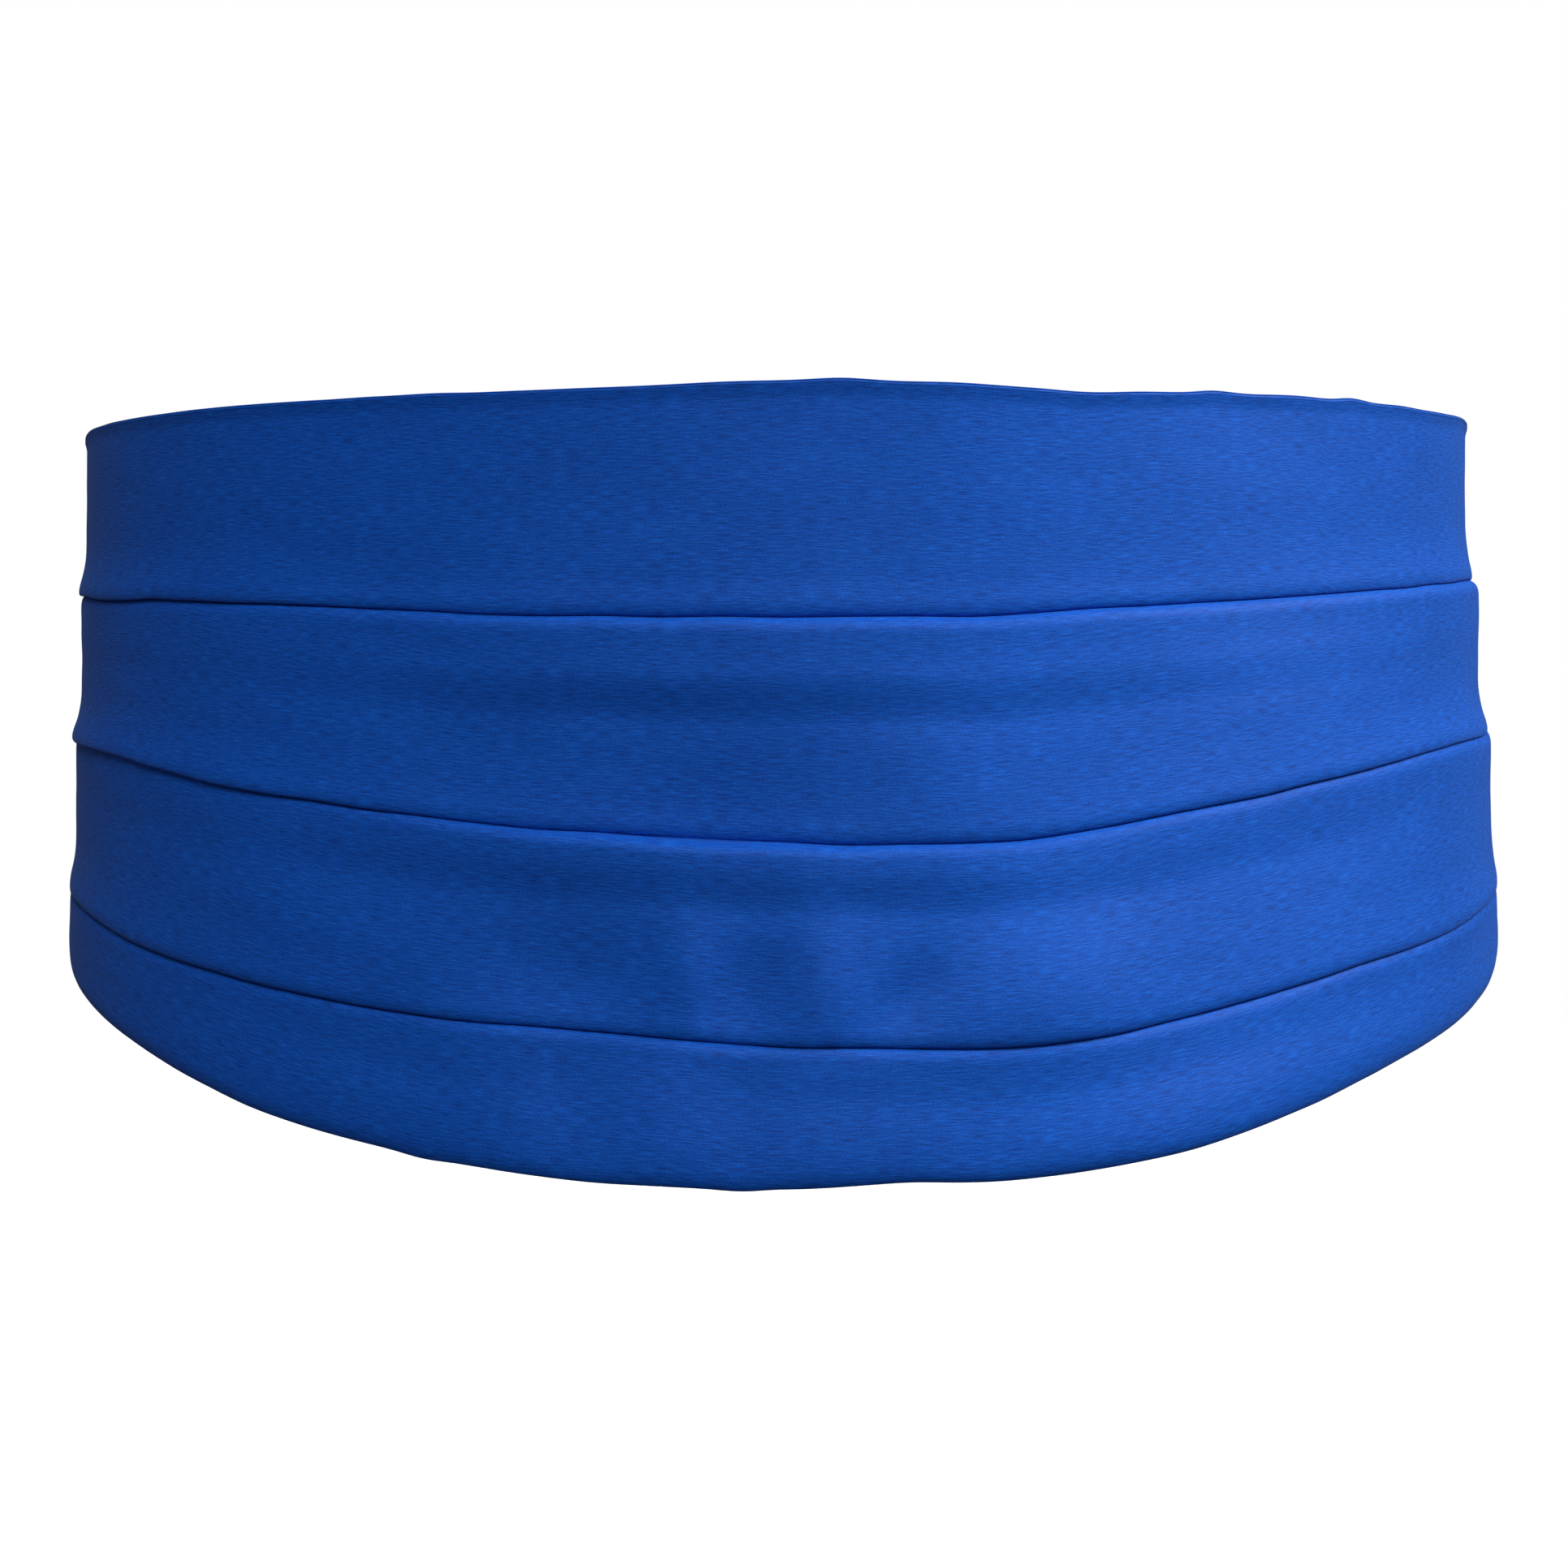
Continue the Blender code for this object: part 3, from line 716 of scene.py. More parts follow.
def closed_sweep(name: str, points: Array, along: Array, around: Array) -> bpy.types.Object:
    """Return a closed object through rings of points, with flat ends.

    Args:
        name: The object's name.
        points: Rings of points, all of one length.
        along: The place of each ring along the cloth, for the UV map.
        around: The places of the points round their ring, for the UV map.

    Returns:
        A smooth object with a UV map named cloth, in metres.
    """
    rings, ring = points.shape[:2]
    shape = bmesh.new()
    uv = shape.loops.layers.uv.new("cloth")
    verts = [[shape.verts.new(point) for point in row] for row in points.tolist()]
    along, around = along.tolist(), around.tolist()
    for i in range(rings - 1):
        for j in range(ring):
            k = (j + 1) % ring
            face = shape.faces.new((verts[i][j], verts[i][k], verts[i + 1][k], verts[i + 1][j]))
            for loop, (row, column) in zip(face.loops, ((i, j), (i, k), (i + 1, k), (i + 1, j))):
                loop[uv].uv = (along[row], around[row][column])
    for row in (0, rings - 1):
        face = shape.faces.new(verts[row])
        for loop, place in zip(face.loops, around[row]):
            loop[uv].uv = (along[row], place)
    bmesh.ops.triangulate(shape, faces=[face for face in shape.faces if len(face.verts) > 4])
    bmesh.ops.recalc_face_normals(shape, faces=shape.faces)
    mesh = bpy.data.meshes.new(name)
    shape.to_mesh(mesh)
    shape.free()
    mesh.shade_smooth()
    mesh.set_sharp_from_angle(angle=math.radians(60.0))
    return link(name, mesh)


def ring_places(points: Array) -> Array:
    """Return how far round its ring each point of each ring lies."""
    steps = np.linalg.norm(np.diff(points, axis=1), axis=2)
    return np.concatenate((np.zeros((len(points), 1)), np.cumsum(steps, axis=1)), axis=1)


@dataclass
class PleatedPanel:
    """The four pleats, each a folded strip of cloth."""

    form: WaistForm
    finish: SlubCloth
    stations: int = 380
    crowding: float = 0.35
    fine: int = 56
    inside_step: int = 3

    def pleats(self) -> list[Pleat]:
        """Return the four pleats from the top one down, each knowing the one above."""
        first = Pleat(
            self.form, "pleat_1", "top", "fold_1", spread=0.00017, flare=0.0021, lean=-0.0016, slant=0.0004,
            imprint_level=0.28, imprint_rise=0.0, dents=DENTS_1,
        )
        second = Pleat(
            self.form, "pleat_2", "fold_1", "fold_2", spread=0.00195, flare=0.0025, lean=-0.0008, slant=0.0014,
            imprint_level=0.37, imprint_rise=0.0016, dents=DENTS_2, above=first, seed=21,
        )
        third = Pleat(
            self.form, "pleat_3", "fold_2", "fold_3", spread=0.0038, flare=0.0016, lean=-0.0001, slant=0.0021,
            imprint_level=0.25, imprint_rise=0.0014, dents=DENTS_3, above=second, seed=41,
        )
        fourth = Pleat(
            self.form, "pleat_4", "fold_3", "hem", spread=0.0050, flare=-0.0006, lean=-0.0001, slant=0.0012,
            imprint_level=0.30, imprint_rise=0.0001, dents=DENTS_4, above=third, seed=61,
        )
        return [first, second, third, fourth]

    def shares(self) -> Array:
        """Return the shares of the stations, closer together at the front."""
        steps = np.linspace(-1.0, 1.0, self.stations)
        return steps * (1.0 - self.crowding + self.crowding * steps * steps)

    def inner_run(self, outward: Array, height: Array, cloth: float) -> tuple[Array, Array]:
        """Return the hidden side of the strip, a cloth's thickness inside its outside.

        Args:
            outward: Distances of the outside.
            height: Heights of the outside.
            cloth: The thickness of the cloth.

        Returns:
            Distances outward and heights, from the far cut edge back to the near one.
        """
        step_out, step_up = np.gradient(outward, axis=1), np.gradient(height, axis=1)
        length = np.hypot(step_out, step_up)
        inside_out = outward + cloth * step_up / length
        inside_height = height - cloth * step_out / length
        chosen = np.unique(np.r_[np.arange(0, outward.shape[1], self.inside_step), outward.shape[1] - 1])
        return inside_out[:, chosen][:, ::-1], inside_height[:, chosen][:, ::-1]

    def build(self, pleat: Pleat) -> bpy.types.Object:
        """Return one pleat as a closed mesh with its UV map in metres.

        Args:
            pleat: The pleat's shape.

        Returns:
            The finished object.
        """
        shares = self.shares()[:, None]
        outward, height = pleat.open_path(shares, self.fine)
        inside_out, inside_height = self.inner_run(outward, height, pleat.cloth)
        ring_out = np.concatenate((outward, inside_out), axis=1)
        ring_height = np.concatenate((height, inside_height), axis=1)
        points = self.form.place(shares * self.form.reach, ring_out, ring_height)
        along = pleat.arc(shares)[:, 0]
        steps = np.hypot(np.diff(outward, axis=1), np.diff(height, axis=1))
        down = np.concatenate((np.zeros((len(along), 1)), np.cumsum(steps, axis=1)), axis=1)
        zero = np.argmin(np.abs(height - pleat.height(shares, 0.5)), axis=1)
        down = down - down[np.arange(len(along)), zero][:, None]
        inside_steps = np.hypot(np.diff(inside_out, axis=1), np.diff(inside_height, axis=1))
        back_down = down[:, -1:] - np.concatenate(
            (np.zeros((len(along), 1)), np.cumsum(inside_steps, axis=1)), axis=1
        )
        ring_down = np.concatenate((down, back_down), axis=1)
        made = closed_sweep(pleat.name + "_cloth", points, along, ring_down)
        made.data.materials.append(self.finish.material())
        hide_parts(pleat.name)
        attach(made, "root")
        return made

    def dress(self) -> list[Pleat]:
        """Build every pleat and return their shapes."""
        pleats = self.pleats()
        for pleat in pleats:
            report(self.build(pleat))
        return pleats


@dataclass
class BackLayout:
    """Where the tabs, the straps and the plate lie behind the panel's ends.

    A run is a length past the panel's end towards centre back, and a stand is a distance outward.
    """

    form: WaistForm
    pleats: list[Pleat]
    tab_wall: float = 0.0012
    tab_cover: float = 0.0130
    tab_web: float = 0.0020
    tab_margin: float = 0.0015
    gap: float = 0.0003
    strap_width: float = 0.0380
    strap_thickness: float = 0.0015
    strap_pocket: float = 0.0090
    strap_flap: float = 0.0280
    clasp_width: float = 0.0440
    clasp_height: float = 0.0480
    clasp_thickness: float = 0.0026
    clasp_bar: float = 0.0040
    clasp_slot: float = 0.0045
    stack_window: float = 0.0030
    stack_start: float = 0.94
    stack_rows: int = 24
    run_before: float = 0.4
    run_after: float = 0.1

    def __post_init__(self) -> None:
        """Work out the middle height, the stack's reach and the run of bearings."""
        ends = np.array([-1.0, 1.0])
        top, hem = edge_height("top", ends)[1], edge_height("hem", ends)[1]
        self.middle = (top + hem) / 2 * self.form.front_height
        self.half_height = (top - hem) / 2 * self.form.front_height + self.tab_margin
        shares = np.linspace(self.stack_start, 1.0, 5)[:, None]
        paths = [pleat.open_path(shares, self.stack_rows) for pleat in self.pleats]
        self.stack_out = np.concatenate([path[0].ravel() for path in paths])
        self.stack_height = np.concatenate([path[1].ravel() for path in paths]) - self.middle
        self.low, self.high = float(self.stack_out.min()), float(self.stack_out.max())
        self.strap_stand = (self.low + self.high) / 2
        start = self.form.reach - self.run_before
        self.bearings, lengths = self.form.run(start, math.pi + self.run_after, self.strap_stand)
        self.runs = lengths - np.interp(self.form.reach, self.bearings, lengths)
        reach = self.clasp_width / 2 - self.clasp_bar / 2
        across = self.form.place(self.bearings, self.strap_stand, 0.0)[:, 0]
        self.bar_run = float(np.interp(-reach, -across, self.runs))
        self.pocket_run = self.gap + self.tab_web
        self.back_run = self.pocket_run + self.strap_pocket

    def place(self, side: int, run: Array, stand: Array, height: Array) -> Array:
        """Return points behind one end of the panel.

        Args:
            side: -1 for the left end, 1 for the right.
            run: Lengths past the panel's end.
            stand: Distances outward.
            height: Heights from the straps' middle.

        Returns:
            Points, with their coordinates along a new last axis.
        """
        bearing = side * np.interp(run, self.runs, self.bearings)
        return self.form.place(bearing, stand, self.middle + height)

    def stack_reach(self, heights: Array) -> tuple[Array, Array]:
        """Return how far in and out the gathered pleats reach at some heights.

        Args:
            heights: Heights from the straps' middle.

        Returns:
            The nearest and the furthest distance outward at each height, with the gap.
        """
        lows, highs = [], []
        top, foot = self.stack_height.max(), self.stack_height.min()
        for height in np.clip(heights, foot + self.stack_window, top - self.stack_window):
            near = self.stack_out[np.abs(self.stack_height - height) < self.stack_window]
            lows.append(float(near.min()))
            highs.append(float(near.max()))
        return np.array(lows) - self.gap / 2, np.array(highs) + self.gap / 2

    def bar_centre(self) -> Array:
        """Return the middle of the right bar of the plate."""
        return self.place(1, self.bar_run, self.strap_stand - self.strap_thickness / 2, 0.0)


def side_counts(corners: Array, spacing: float) -> Array:
    """Return how many points each side of a closed outline takes at a spacing."""
    lengths = np.linalg.norm(np.roll(corners, -1, axis=0) - corners, axis=1)
    return np.maximum(1, np.rint(lengths / spacing)).astype(int)


def side_ring(corners: Array, counts: Array) -> Array:
    """Return a closed outline with a fixed number of points on each side, its corners eased.

    Args:
        corners: Corner points of the outline.
        counts: The number of points on the side that starts at each corner.

    Returns:
        The outline's points, which match from one outline to the next.
    """
    sides = []
    for first, last, count in zip(corners, np.roll(corners, -1, axis=0), counts):
        sides.append(first + (last - first) * (np.arange(count) / count)[:, None])
    ring = np.concatenate(sides)
    return 0.5 * ring + 0.25 * (np.roll(ring, 1, axis=0) + np.roll(ring, -1, axis=0))


def inset_ring(ring: Array, inset: float) -> Array:
    """Return a closed outline moved inwards, where its points run so that the inside is on the left."""
    ahead = np.roll(ring, -1, axis=0) - np.roll(ring, 1, axis=0)
    length = np.linalg.norm(ahead, axis=1, keepdims=True)
    return ring + inset * np.stack((-ahead[:, 1], ahead[:, 0]), axis=1) / length


@dataclass
class EndTab:
    """A cloth binding folded over the gathered ends of the pleats, with a pocket for the strap."""

    layout: BackLayout
    side: int
    finish: SlubCloth
    spacing: float = 0.00045
    rim: float = 0.00050
    rim_steps: int = 5
    rows: int = 44
    taper_end: float = 0.0050
    shut: float = 0.00020
    lip_share: float = 0.7
    slit_end: float = 0.0003
    slit_cap: float = 0.0006
    easing: int = 6
    pattern: int = 80
    side_steps: int = 40
    seam_inset: float = 0.0022
    seam_end: float = 0.0020
    thread_lift: float = 0.00004

    @property
    def name(self) -> str:
        """Return the name of the node it stands for."""
        return "end_tab_left" if self.side < 0 else "end_tab_right"

    def outline(self, low: float, high: float, cover: float, opened: float) -> Array:
        """Return the plan outline as runs and stands.

        Args:
            low: The near side of the pleats at this height.
            high: The far side of the pleats at this height.
            cover: 1 where the binding holds the pleats, 0 past their edges.
            opened: 1 where the pocket holds the strap, 0 past its edges.

        Returns:
            The outline's corner points, its inside on the left.
        """
        at, wall = self.layout, self.layout.tab_wall
        mouth, back = -at.tab_cover, at.back_run
        pocket = self.shut + ((at.strap_thickness + at.gap) / 2 - self.shut) * opened
        pocket_run = back - (back - at.pocket_run) * opened
        channel_run = mouth + (at.gap - mouth) * cover
        back_lip = pocket + wall * self.lip_share * (1.0 - opened)
        mouth_lip = wall * self.lip_share * (1.0 - cover)
        runs = np.linspace(mouth, back, self.side_steps)
        eased = smooth_step(runs / self.taper_end)
        narrow = pocket + wall
        outer = high + wall + (at.strap_stand + narrow - high - wall) * eased
        inner = low - wall + (at.strap_stand - narrow - low + wall) * eased
        corners = [(run, stand) for run, stand in zip(runs, inner)]
        corners += [(back, at.strap_stand - back_lip), (pocket_run, at.strap_stand - pocket)]
        corners += [(pocket_run, at.strap_stand + pocket), (back, at.strap_stand + back_lip)]
        corners += [(run, stand) for run, stand in zip(runs[::-1], outer[::-1])]
        corners += [(mouth, high + mouth_lip), (channel_run, high)]
        corners += [(channel_run, low), (mouth, low - mouth_lip)]
        return np.array(corners)

    def dress(self) -> bpy.types.Object:
        """Return the finished tab."""
        at = self.layout
        half = at.half_height
        turn = np.linspace(0.0, math.pi / 2, self.rim_steps)
        strap_end, pleat_end = at.strap_width / 2 + self.slit_end, half - at.tab_margin + self.slit_end
        ends = np.array([strap_end, strap_end + self.slit_cap, pleat_end])
        heights = np.linspace(-half + self.rim, half - self.rim, self.rows)
        heights = np.sort(np.concatenate((heights, ends, -ends)))
        levels = np.concatenate((-half + self.rim * (1 - np.sin(turn[::-1][:-1])), heights,
                                 half - self.rim * (1 - np.sin(turn[1:]))))
        insets = np.concatenate((self.rim * (1 - np.cos(turn[::-1][:-1])), 0.0 * heights,
                                 self.rim * (1 - np.cos(turn[1:]))))
        opened = (np.abs(levels) < strap_end + self.slit_cap / 2).astype(float)
        covers = (np.abs(levels) < pleat_end + self.slit_cap / 4).astype(float)
        even = np.linspace(-half, half, self.rows)
        lows, highs = at.stack_reach(even)
        for _ in range(self.easing):
            lows[1:-1] = np.minimum(lows[1:-1], (lows[:-2] + lows[2:]) / 2)
            highs[1:-1] = np.maximum(highs[1:-1], (highs[:-2] + highs[2:]) / 2)
        lows, highs = np.interp(levels, even, lows), np.interp(levels, even, highs)
        rings = []
        counts = side_counts(self.outline(lows.min(), highs.max(), 1.0, 1.0), self.spacing)
        for level, inset, low, high, cover, share in zip(levels, insets, lows, highs, covers, opened):
            ring = side_ring(self.outline(low, high, cover, share), counts)
            ring = inset_ring(ring, inset)
            wave = waving(TAB_WAVES, ring[:, 0], 0.0 * ring[:, 0] + level, self.pattern + self.side)
            rings.append(at.place(self.side, ring[:, 0], ring[:, 1] + wave, level))
        points = np.array(rings)
        around = np.broadcast_to(ring_places(points[len(points) // 2][None]), points.shape[:2])
        made = closed_sweep(self.name + "_cloth", points, levels, around)
        made.data.materials.append(self.finish.material())
        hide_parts(self.name)
        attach(made, "root")
        return made

    def stitch_lines(self) -> list[Array]:
        """Return the lines that the tab is sewn along."""
        at = self.layout
        reach = at.half_height - self.seam_inset
        heights = np.linspace(-reach, reach, 24)
        lines = []
        lows, highs = at.stack_reach(heights)
        lift = at.tab_wall + self.thread_lift
        for stand in (highs + lift, lows - lift):
            lines.append(at.place(self.side, self.seam_inset - at.tab_cover, stand, heights))
        pocket = at.strap_thickness / 2 + at.gap / 2 + lift
        reach = at.strap_width / 2 - self.seam_end
        heights = np.linspace(-reach, reach, 16)
        for stand in (at.strap_stand + pocket, at.strap_stand - pocket):
            lines.append(at.place(self.side, at.back_run - self.seam_inset, stand, heights))
        return lines


@dataclass(frozen=True)
class RibbedStrap:
    """Blue strap cloth with fine ribs across it, matte, its rib grooves painted darker as painted shade."""

    name: str = "strap_cloth_ribs"
    rib: float = 0.00095
    # Colour of the rib grooves: the cloth's blue darkened as painted shade in the grooves.
    groove_painted_shade: Colour = (0.0020, 0.0240, 0.1300, 1.0)
    crown: Colour = (0.0045, 0.0620, 0.3100, 1.0)
    fine_share: float = 0.3
    roughness: float = 0.68
    specular: float = 0.15
    sheen: float = 0.04
    sheen_tint: Colour = (0.45, 0.62, 1.0, 1.0)
    bump: float = 0.55
    bump_reach: float = 0.00014

    def material(self) -> bpy.types.Material:
        """Return the strap's material, which follows its own UV map in metres."""
        material, tree, shader = new_material(
            self.name, Roughness=self.roughness, Specular_IOR_Level=self.specular, Sheen_Weight=self.sheen,
            Sheen_Tint=self.sheen_tint,
        )
        uv = add_node(tree, "ShaderNodeUVMap", {})
        uv.uv_map = "cloth"
        fed = stretched(tree, uv.outputs["UV"], (1.0 / self.rib, 1.0 / self.rib, 1.0))
        ribs = add_node(tree, "ShaderNodeTexWave", fed, Scale=1.0 / math.pi, Distortion=0.5, Detail=1.0)
        ribs.bands_direction = "X"
        fine = add_node(tree, "ShaderNodeTexNoise", fed, Scale=3.0)
        woven = blend(tree, ribs.outputs["Fac"], fine.outputs["Fac"], self.fine_share)
        # The grooves between the ribs are painted darker than the crowns: painted shade in the grooves.
        paint(tree, shader, woven, ((0.0, self.groove_painted_shade), (1.0, self.crown)))
        emboss(tree, shader, woven, self.bump, self.bump_reach)
        return material


@dataclass
class Strap:
    """A woven band from the tab's pocket, turned round the plate's bar and sewn back on itself."""

    layout: BackLayout
    side: int
    finish: RibbedStrap
    cloth: float = 0.0012
    stations: int = 170
    across: int = 34
    selvedge: float = 0.00012
    turn_steps: int = 25
    turn_reach: float = 0.72 * math.pi
    shoulder: float = 0.0045
    line_easing: int = 3
    bead_place: float = 0.955
    bead_reach: float = 0.02
    edge_round: float = 0.025
    pattern: int = 90
    seam_end: float = 0.0025
    seam_length: float = 0.0150
    seam_inset: float = 0.0028
    seam_steps: int = 18
    thread_lift: float = 0.00003

    @property
    def name(self) -> str:
        """Return the name of the node it stands for."""
        return "strap_left" if self.side < 0 else "strap_right"

    @property
    def eye(self) -> float:
        """Return how far the turned band's middle stands from the bar's middle, along the band."""
        return self.layout.clasp_bar / 2 + self.layout.gap + self.cloth / 2

    def path(self) -> Array:
        """Return the band's middle line as runs and stands."""
        at = self.layout
        upper = at.strap_stand
        lower = at.strap_stand - at.strap_thickness
        centre = (upper + lower) / 2
        rise = at.clasp_thickness / 2 + at.gap + self.cloth / 2
        start, shoulder = at.pocket_run + at.gap, at.bar_run - self.eye - self.shoulder
        flap_end = at.bar_run - self.eye - at.strap_flap
        turn = np.linspace(self.turn_reach, -self.turn_reach, self.turn_steps)
        runs = at.bar_run + self.eye * np.cos(turn)
        stands = centre + rise * np.sin(turn)
        points = [(run, upper) for run in np.linspace(start, shoulder, 60)]
        points += list(zip(runs, stands))
        points += [(run, lower) for run in np.linspace(shoulder, flap_end, 24)]
        line = np.array(points)
        for _ in range(self.line_easing):
            line[1:-1] = 0.5 * line[1:-1] + 0.25 * (line[:-2] + line[2:])
        lengths = path_lengths(line)
        places = np.linspace(0.0, lengths[-1], self.stations)
        return np.stack([np.interp(places, lengths, line[:, axis]) for axis in (0, 1)], axis=1)

    def dress(self) -> bpy.types.Object:
        """Return the finished strap."""
        at = self.layout
        path = self.path()
        ahead = np.gradient(path, axis=0)
        ahead /= np.linalg.norm(ahead, axis=1, keepdims=True)
        normal = np.stack((-ahead[:, 1], ahead[:, 0]), axis=1)
        half_width, half = at.strap_width / 2, self.cloth / 2
        across = np.linspace(-1.0, 1.0, self.across)
        bead = half + self.selvedge * np.exp(-(((np.abs(across) - self.bead_place) / self.bead_reach) ** 2))
        bead = bead * np.sqrt(np.clip((1.0 - np.abs(across)) / self.edge_round, 0.0, 1.0))
        heights = np.concatenate((across * half_width, (across * half_width)[::-1][1:-1]))
        depths = np.concatenate((bead, -bead[::-1][1:-1]))
        run = path[:, :1] + normal[:, :1] * depths[None, :]
        stand = path[:, 1:] + normal[:, 1:] * depths[None, :]
        lengths = path_lengths(path)
        ripple = waving(STRAP_WAVES, lengths[:, None], heights[None, :], self.pattern + self.side)
        points = at.place(self.side, run, stand + ripple, heights[None, :])
        around = np.broadcast_to(heights[None, :], points.shape[:2])
        made = closed_sweep(self.name + "_band", points, lengths, around)
        made.data.materials.append(self.finish.material())
        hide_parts(self.name)
        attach(made, "root")
        return made

    def stitch_lines(self) -> list[Array]:
        """Return the box and cross that the flap is sewn down with, on both faces."""
        at = self.layout
        start = at.bar_run - self.eye - at.strap_flap + self.seam_end
        end = start + self.seam_length
        half = at.strap_width / 2 - self.seam_inset
        corners = ((start, -half), (end, -half), (end, half), (start, half))
        pairs = [(corners[i], corners[(i + 1) % 4]) for i in range(4)]
        pairs += [(corners[0], corners[2]), (corners[1], corners[3])]
        lines = []
        face = self.cloth / 2 + self.thread_lift
        for stand in (at.strap_stand + face, at.strap_stand - at.strap_thickness - face):
            for first, last in pairs:
                runs, heights = np.linspace(first, last, self.seam_steps).T
                lines.append(at.place(self.side, runs, np.full(self.seam_steps, stand), heights))
        return lines


@dataclass(frozen=True)
class BrushedSteel:
    """Satin steel with fine brushing along the plate."""

    name: str = "clasp_brushed_steel"
    dark: Colour = (0.46, 0.47, 0.49, 1.0)
    bright: Colour = (0.72, 0.73, 0.75, 1.0)
    brushing: tuple[float, float, float] = (60.0, 400.0, 6000.0)
    roughness: tuple[float, float] = (0.24, 0.42)
    bump: float = 0.25
    bump_reach: float = 0.00003

    def material(self) -> bpy.types.Material:
        """Return the steel's material, which follows the plate's place."""
        material, tree, shader = new_material(self.name, Metallic=1.0)
        place = add_node(tree, "ShaderNodeTexCoord", {})
        fed = stretched(tree, place.outputs["Object"], self.brushing)
        lines = add_node(tree, "ShaderNodeTexNoise", fed, Scale=1.0, Detail=3.0).outputs["Fac"]
        paint(tree, shader, lines, ((0.0, self.dark), (1.0, self.bright)))
        smoothest, roughest = self.roughness
        rough = add_node(tree, "ShaderNodeMapRange", {"Value": lines}, To_Min=smoothest, To_Max=roughest)
        tree.links.new(rough.outputs["Result"], shader.inputs["Roughness"])
        emboss(tree, shader, lines, self.bump, self.bump_reach)
        return material


@dataclass
class ClaspPlate:
    """The plain plate at centre back, with a slot inside each end bar."""

    layout: BackLayout
    finish: BrushedSteel
    corner: float = 0.0040
    edge: float = 0.0006
    corner_steps: int = 8

    def rounded_box(self, centre: float, width: float, height: float, corner: float) -> Array:
        """Return a rounded rectangle's outline.

        Args:
            centre: Its middle along X.
            width: Its width.
            height: Its height.
            corner: The radius of its corners.

        Returns:
            Points of the outline.
        """
        turn = np.linspace(0.0, math.pi / 2, self.corner_steps)
        points = []
        for quarter, (x, z) in enumerate(((1, 1), (-1, 1), (-1, -1), (1, -1))):
            angle = turn + quarter * math.pi / 2
            middle = (centre + x * (width / 2 - corner), z * (height / 2 - corner))
            points += list(zip(middle[0] + corner * np.cos(angle), middle[1] + corner * np.sin(angle)))
        return np.array(points)

    def dress(self) -> bpy.types.Object:
        """Return the finished plate."""
        at = self.layout
        inset = self.edge
        width, height = at.clasp_width - 2 * inset, at.clasp_height - 2 * inset
        outlines = [self.rounded_box(0.0, width, height, self.corner)]
        reach = at.clasp_width / 2 - at.clasp_bar - at.clasp_slot / 2
        for side in (-1, 1):
            slot_height = at.strap_width + 4 * at.gap
            slot = self.rounded_box(
                side * reach, at.clasp_slot + 2 * inset, slot_height + 2 * inset, at.clasp_slot / 3
            )
            outlines.append(slot)
        drawn = bpy.data.curves.new("clasp_plate", "CURVE")
        drawn.dimensions = "2D"
        drawn.fill_mode = "BOTH"
        drawn.extrude = at.clasp_thickness / 2 - self.edge
        drawn.bevel_depth = self.edge
        drawn.bevel_resolution = 4
        for outline in outlines:
            spline = drawn.splines.new("POLY")
            spline.points.add(len(outline) - 1)
            for point, (x, z) in zip(spline.points, outline.tolist()):
                point.co = (x, z, 0.0, 1.0)
            spline.use_cyclic_u = True
        holder = bpy.data.objects.new("clasp_outline", drawn)
        bpy.context.scene.collection.objects.link(holder)
        evaluated = holder.evaluated_get(bpy.context.evaluated_depsgraph_get())
        mesh = bpy.data.meshes.new_from_object(evaluated)
        bpy.data.objects.remove(holder, do_unlink=True)
        shape = bmesh.new()
        shape.from_mesh(mesh)
        bmesh.ops.remove_doubles(shape, verts=shape.verts, dist=0.00001)
        for vert in shape.verts:
            x, z, y = vert.co
            vert.co = (x, at.bar_centre()[1] - y, at.middle + z)
        bmesh.ops.recalc_face_normals(shape, faces=shape.faces)
        shape.to_mesh(mesh)
        shape.free()
        mesh.materials.clear()
        mesh.materials.append(self.finish.material())
        mesh.shade_smooth()
        mesh.set_sharp_from_angle(angle=math.radians(40.0))
        made = link("clasp_plate", mesh)
        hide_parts("clasp")
        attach(made, "root")
        return made


class ThreadColour(Enum):
    """The thread that a seam is sewn with."""

    PLEAT_BLUE = (0.0060, 0.1150, 0.5400, 1.0)
    STRAP_BLUE = (0.0060, 0.0800, 0.4000, 1.0)


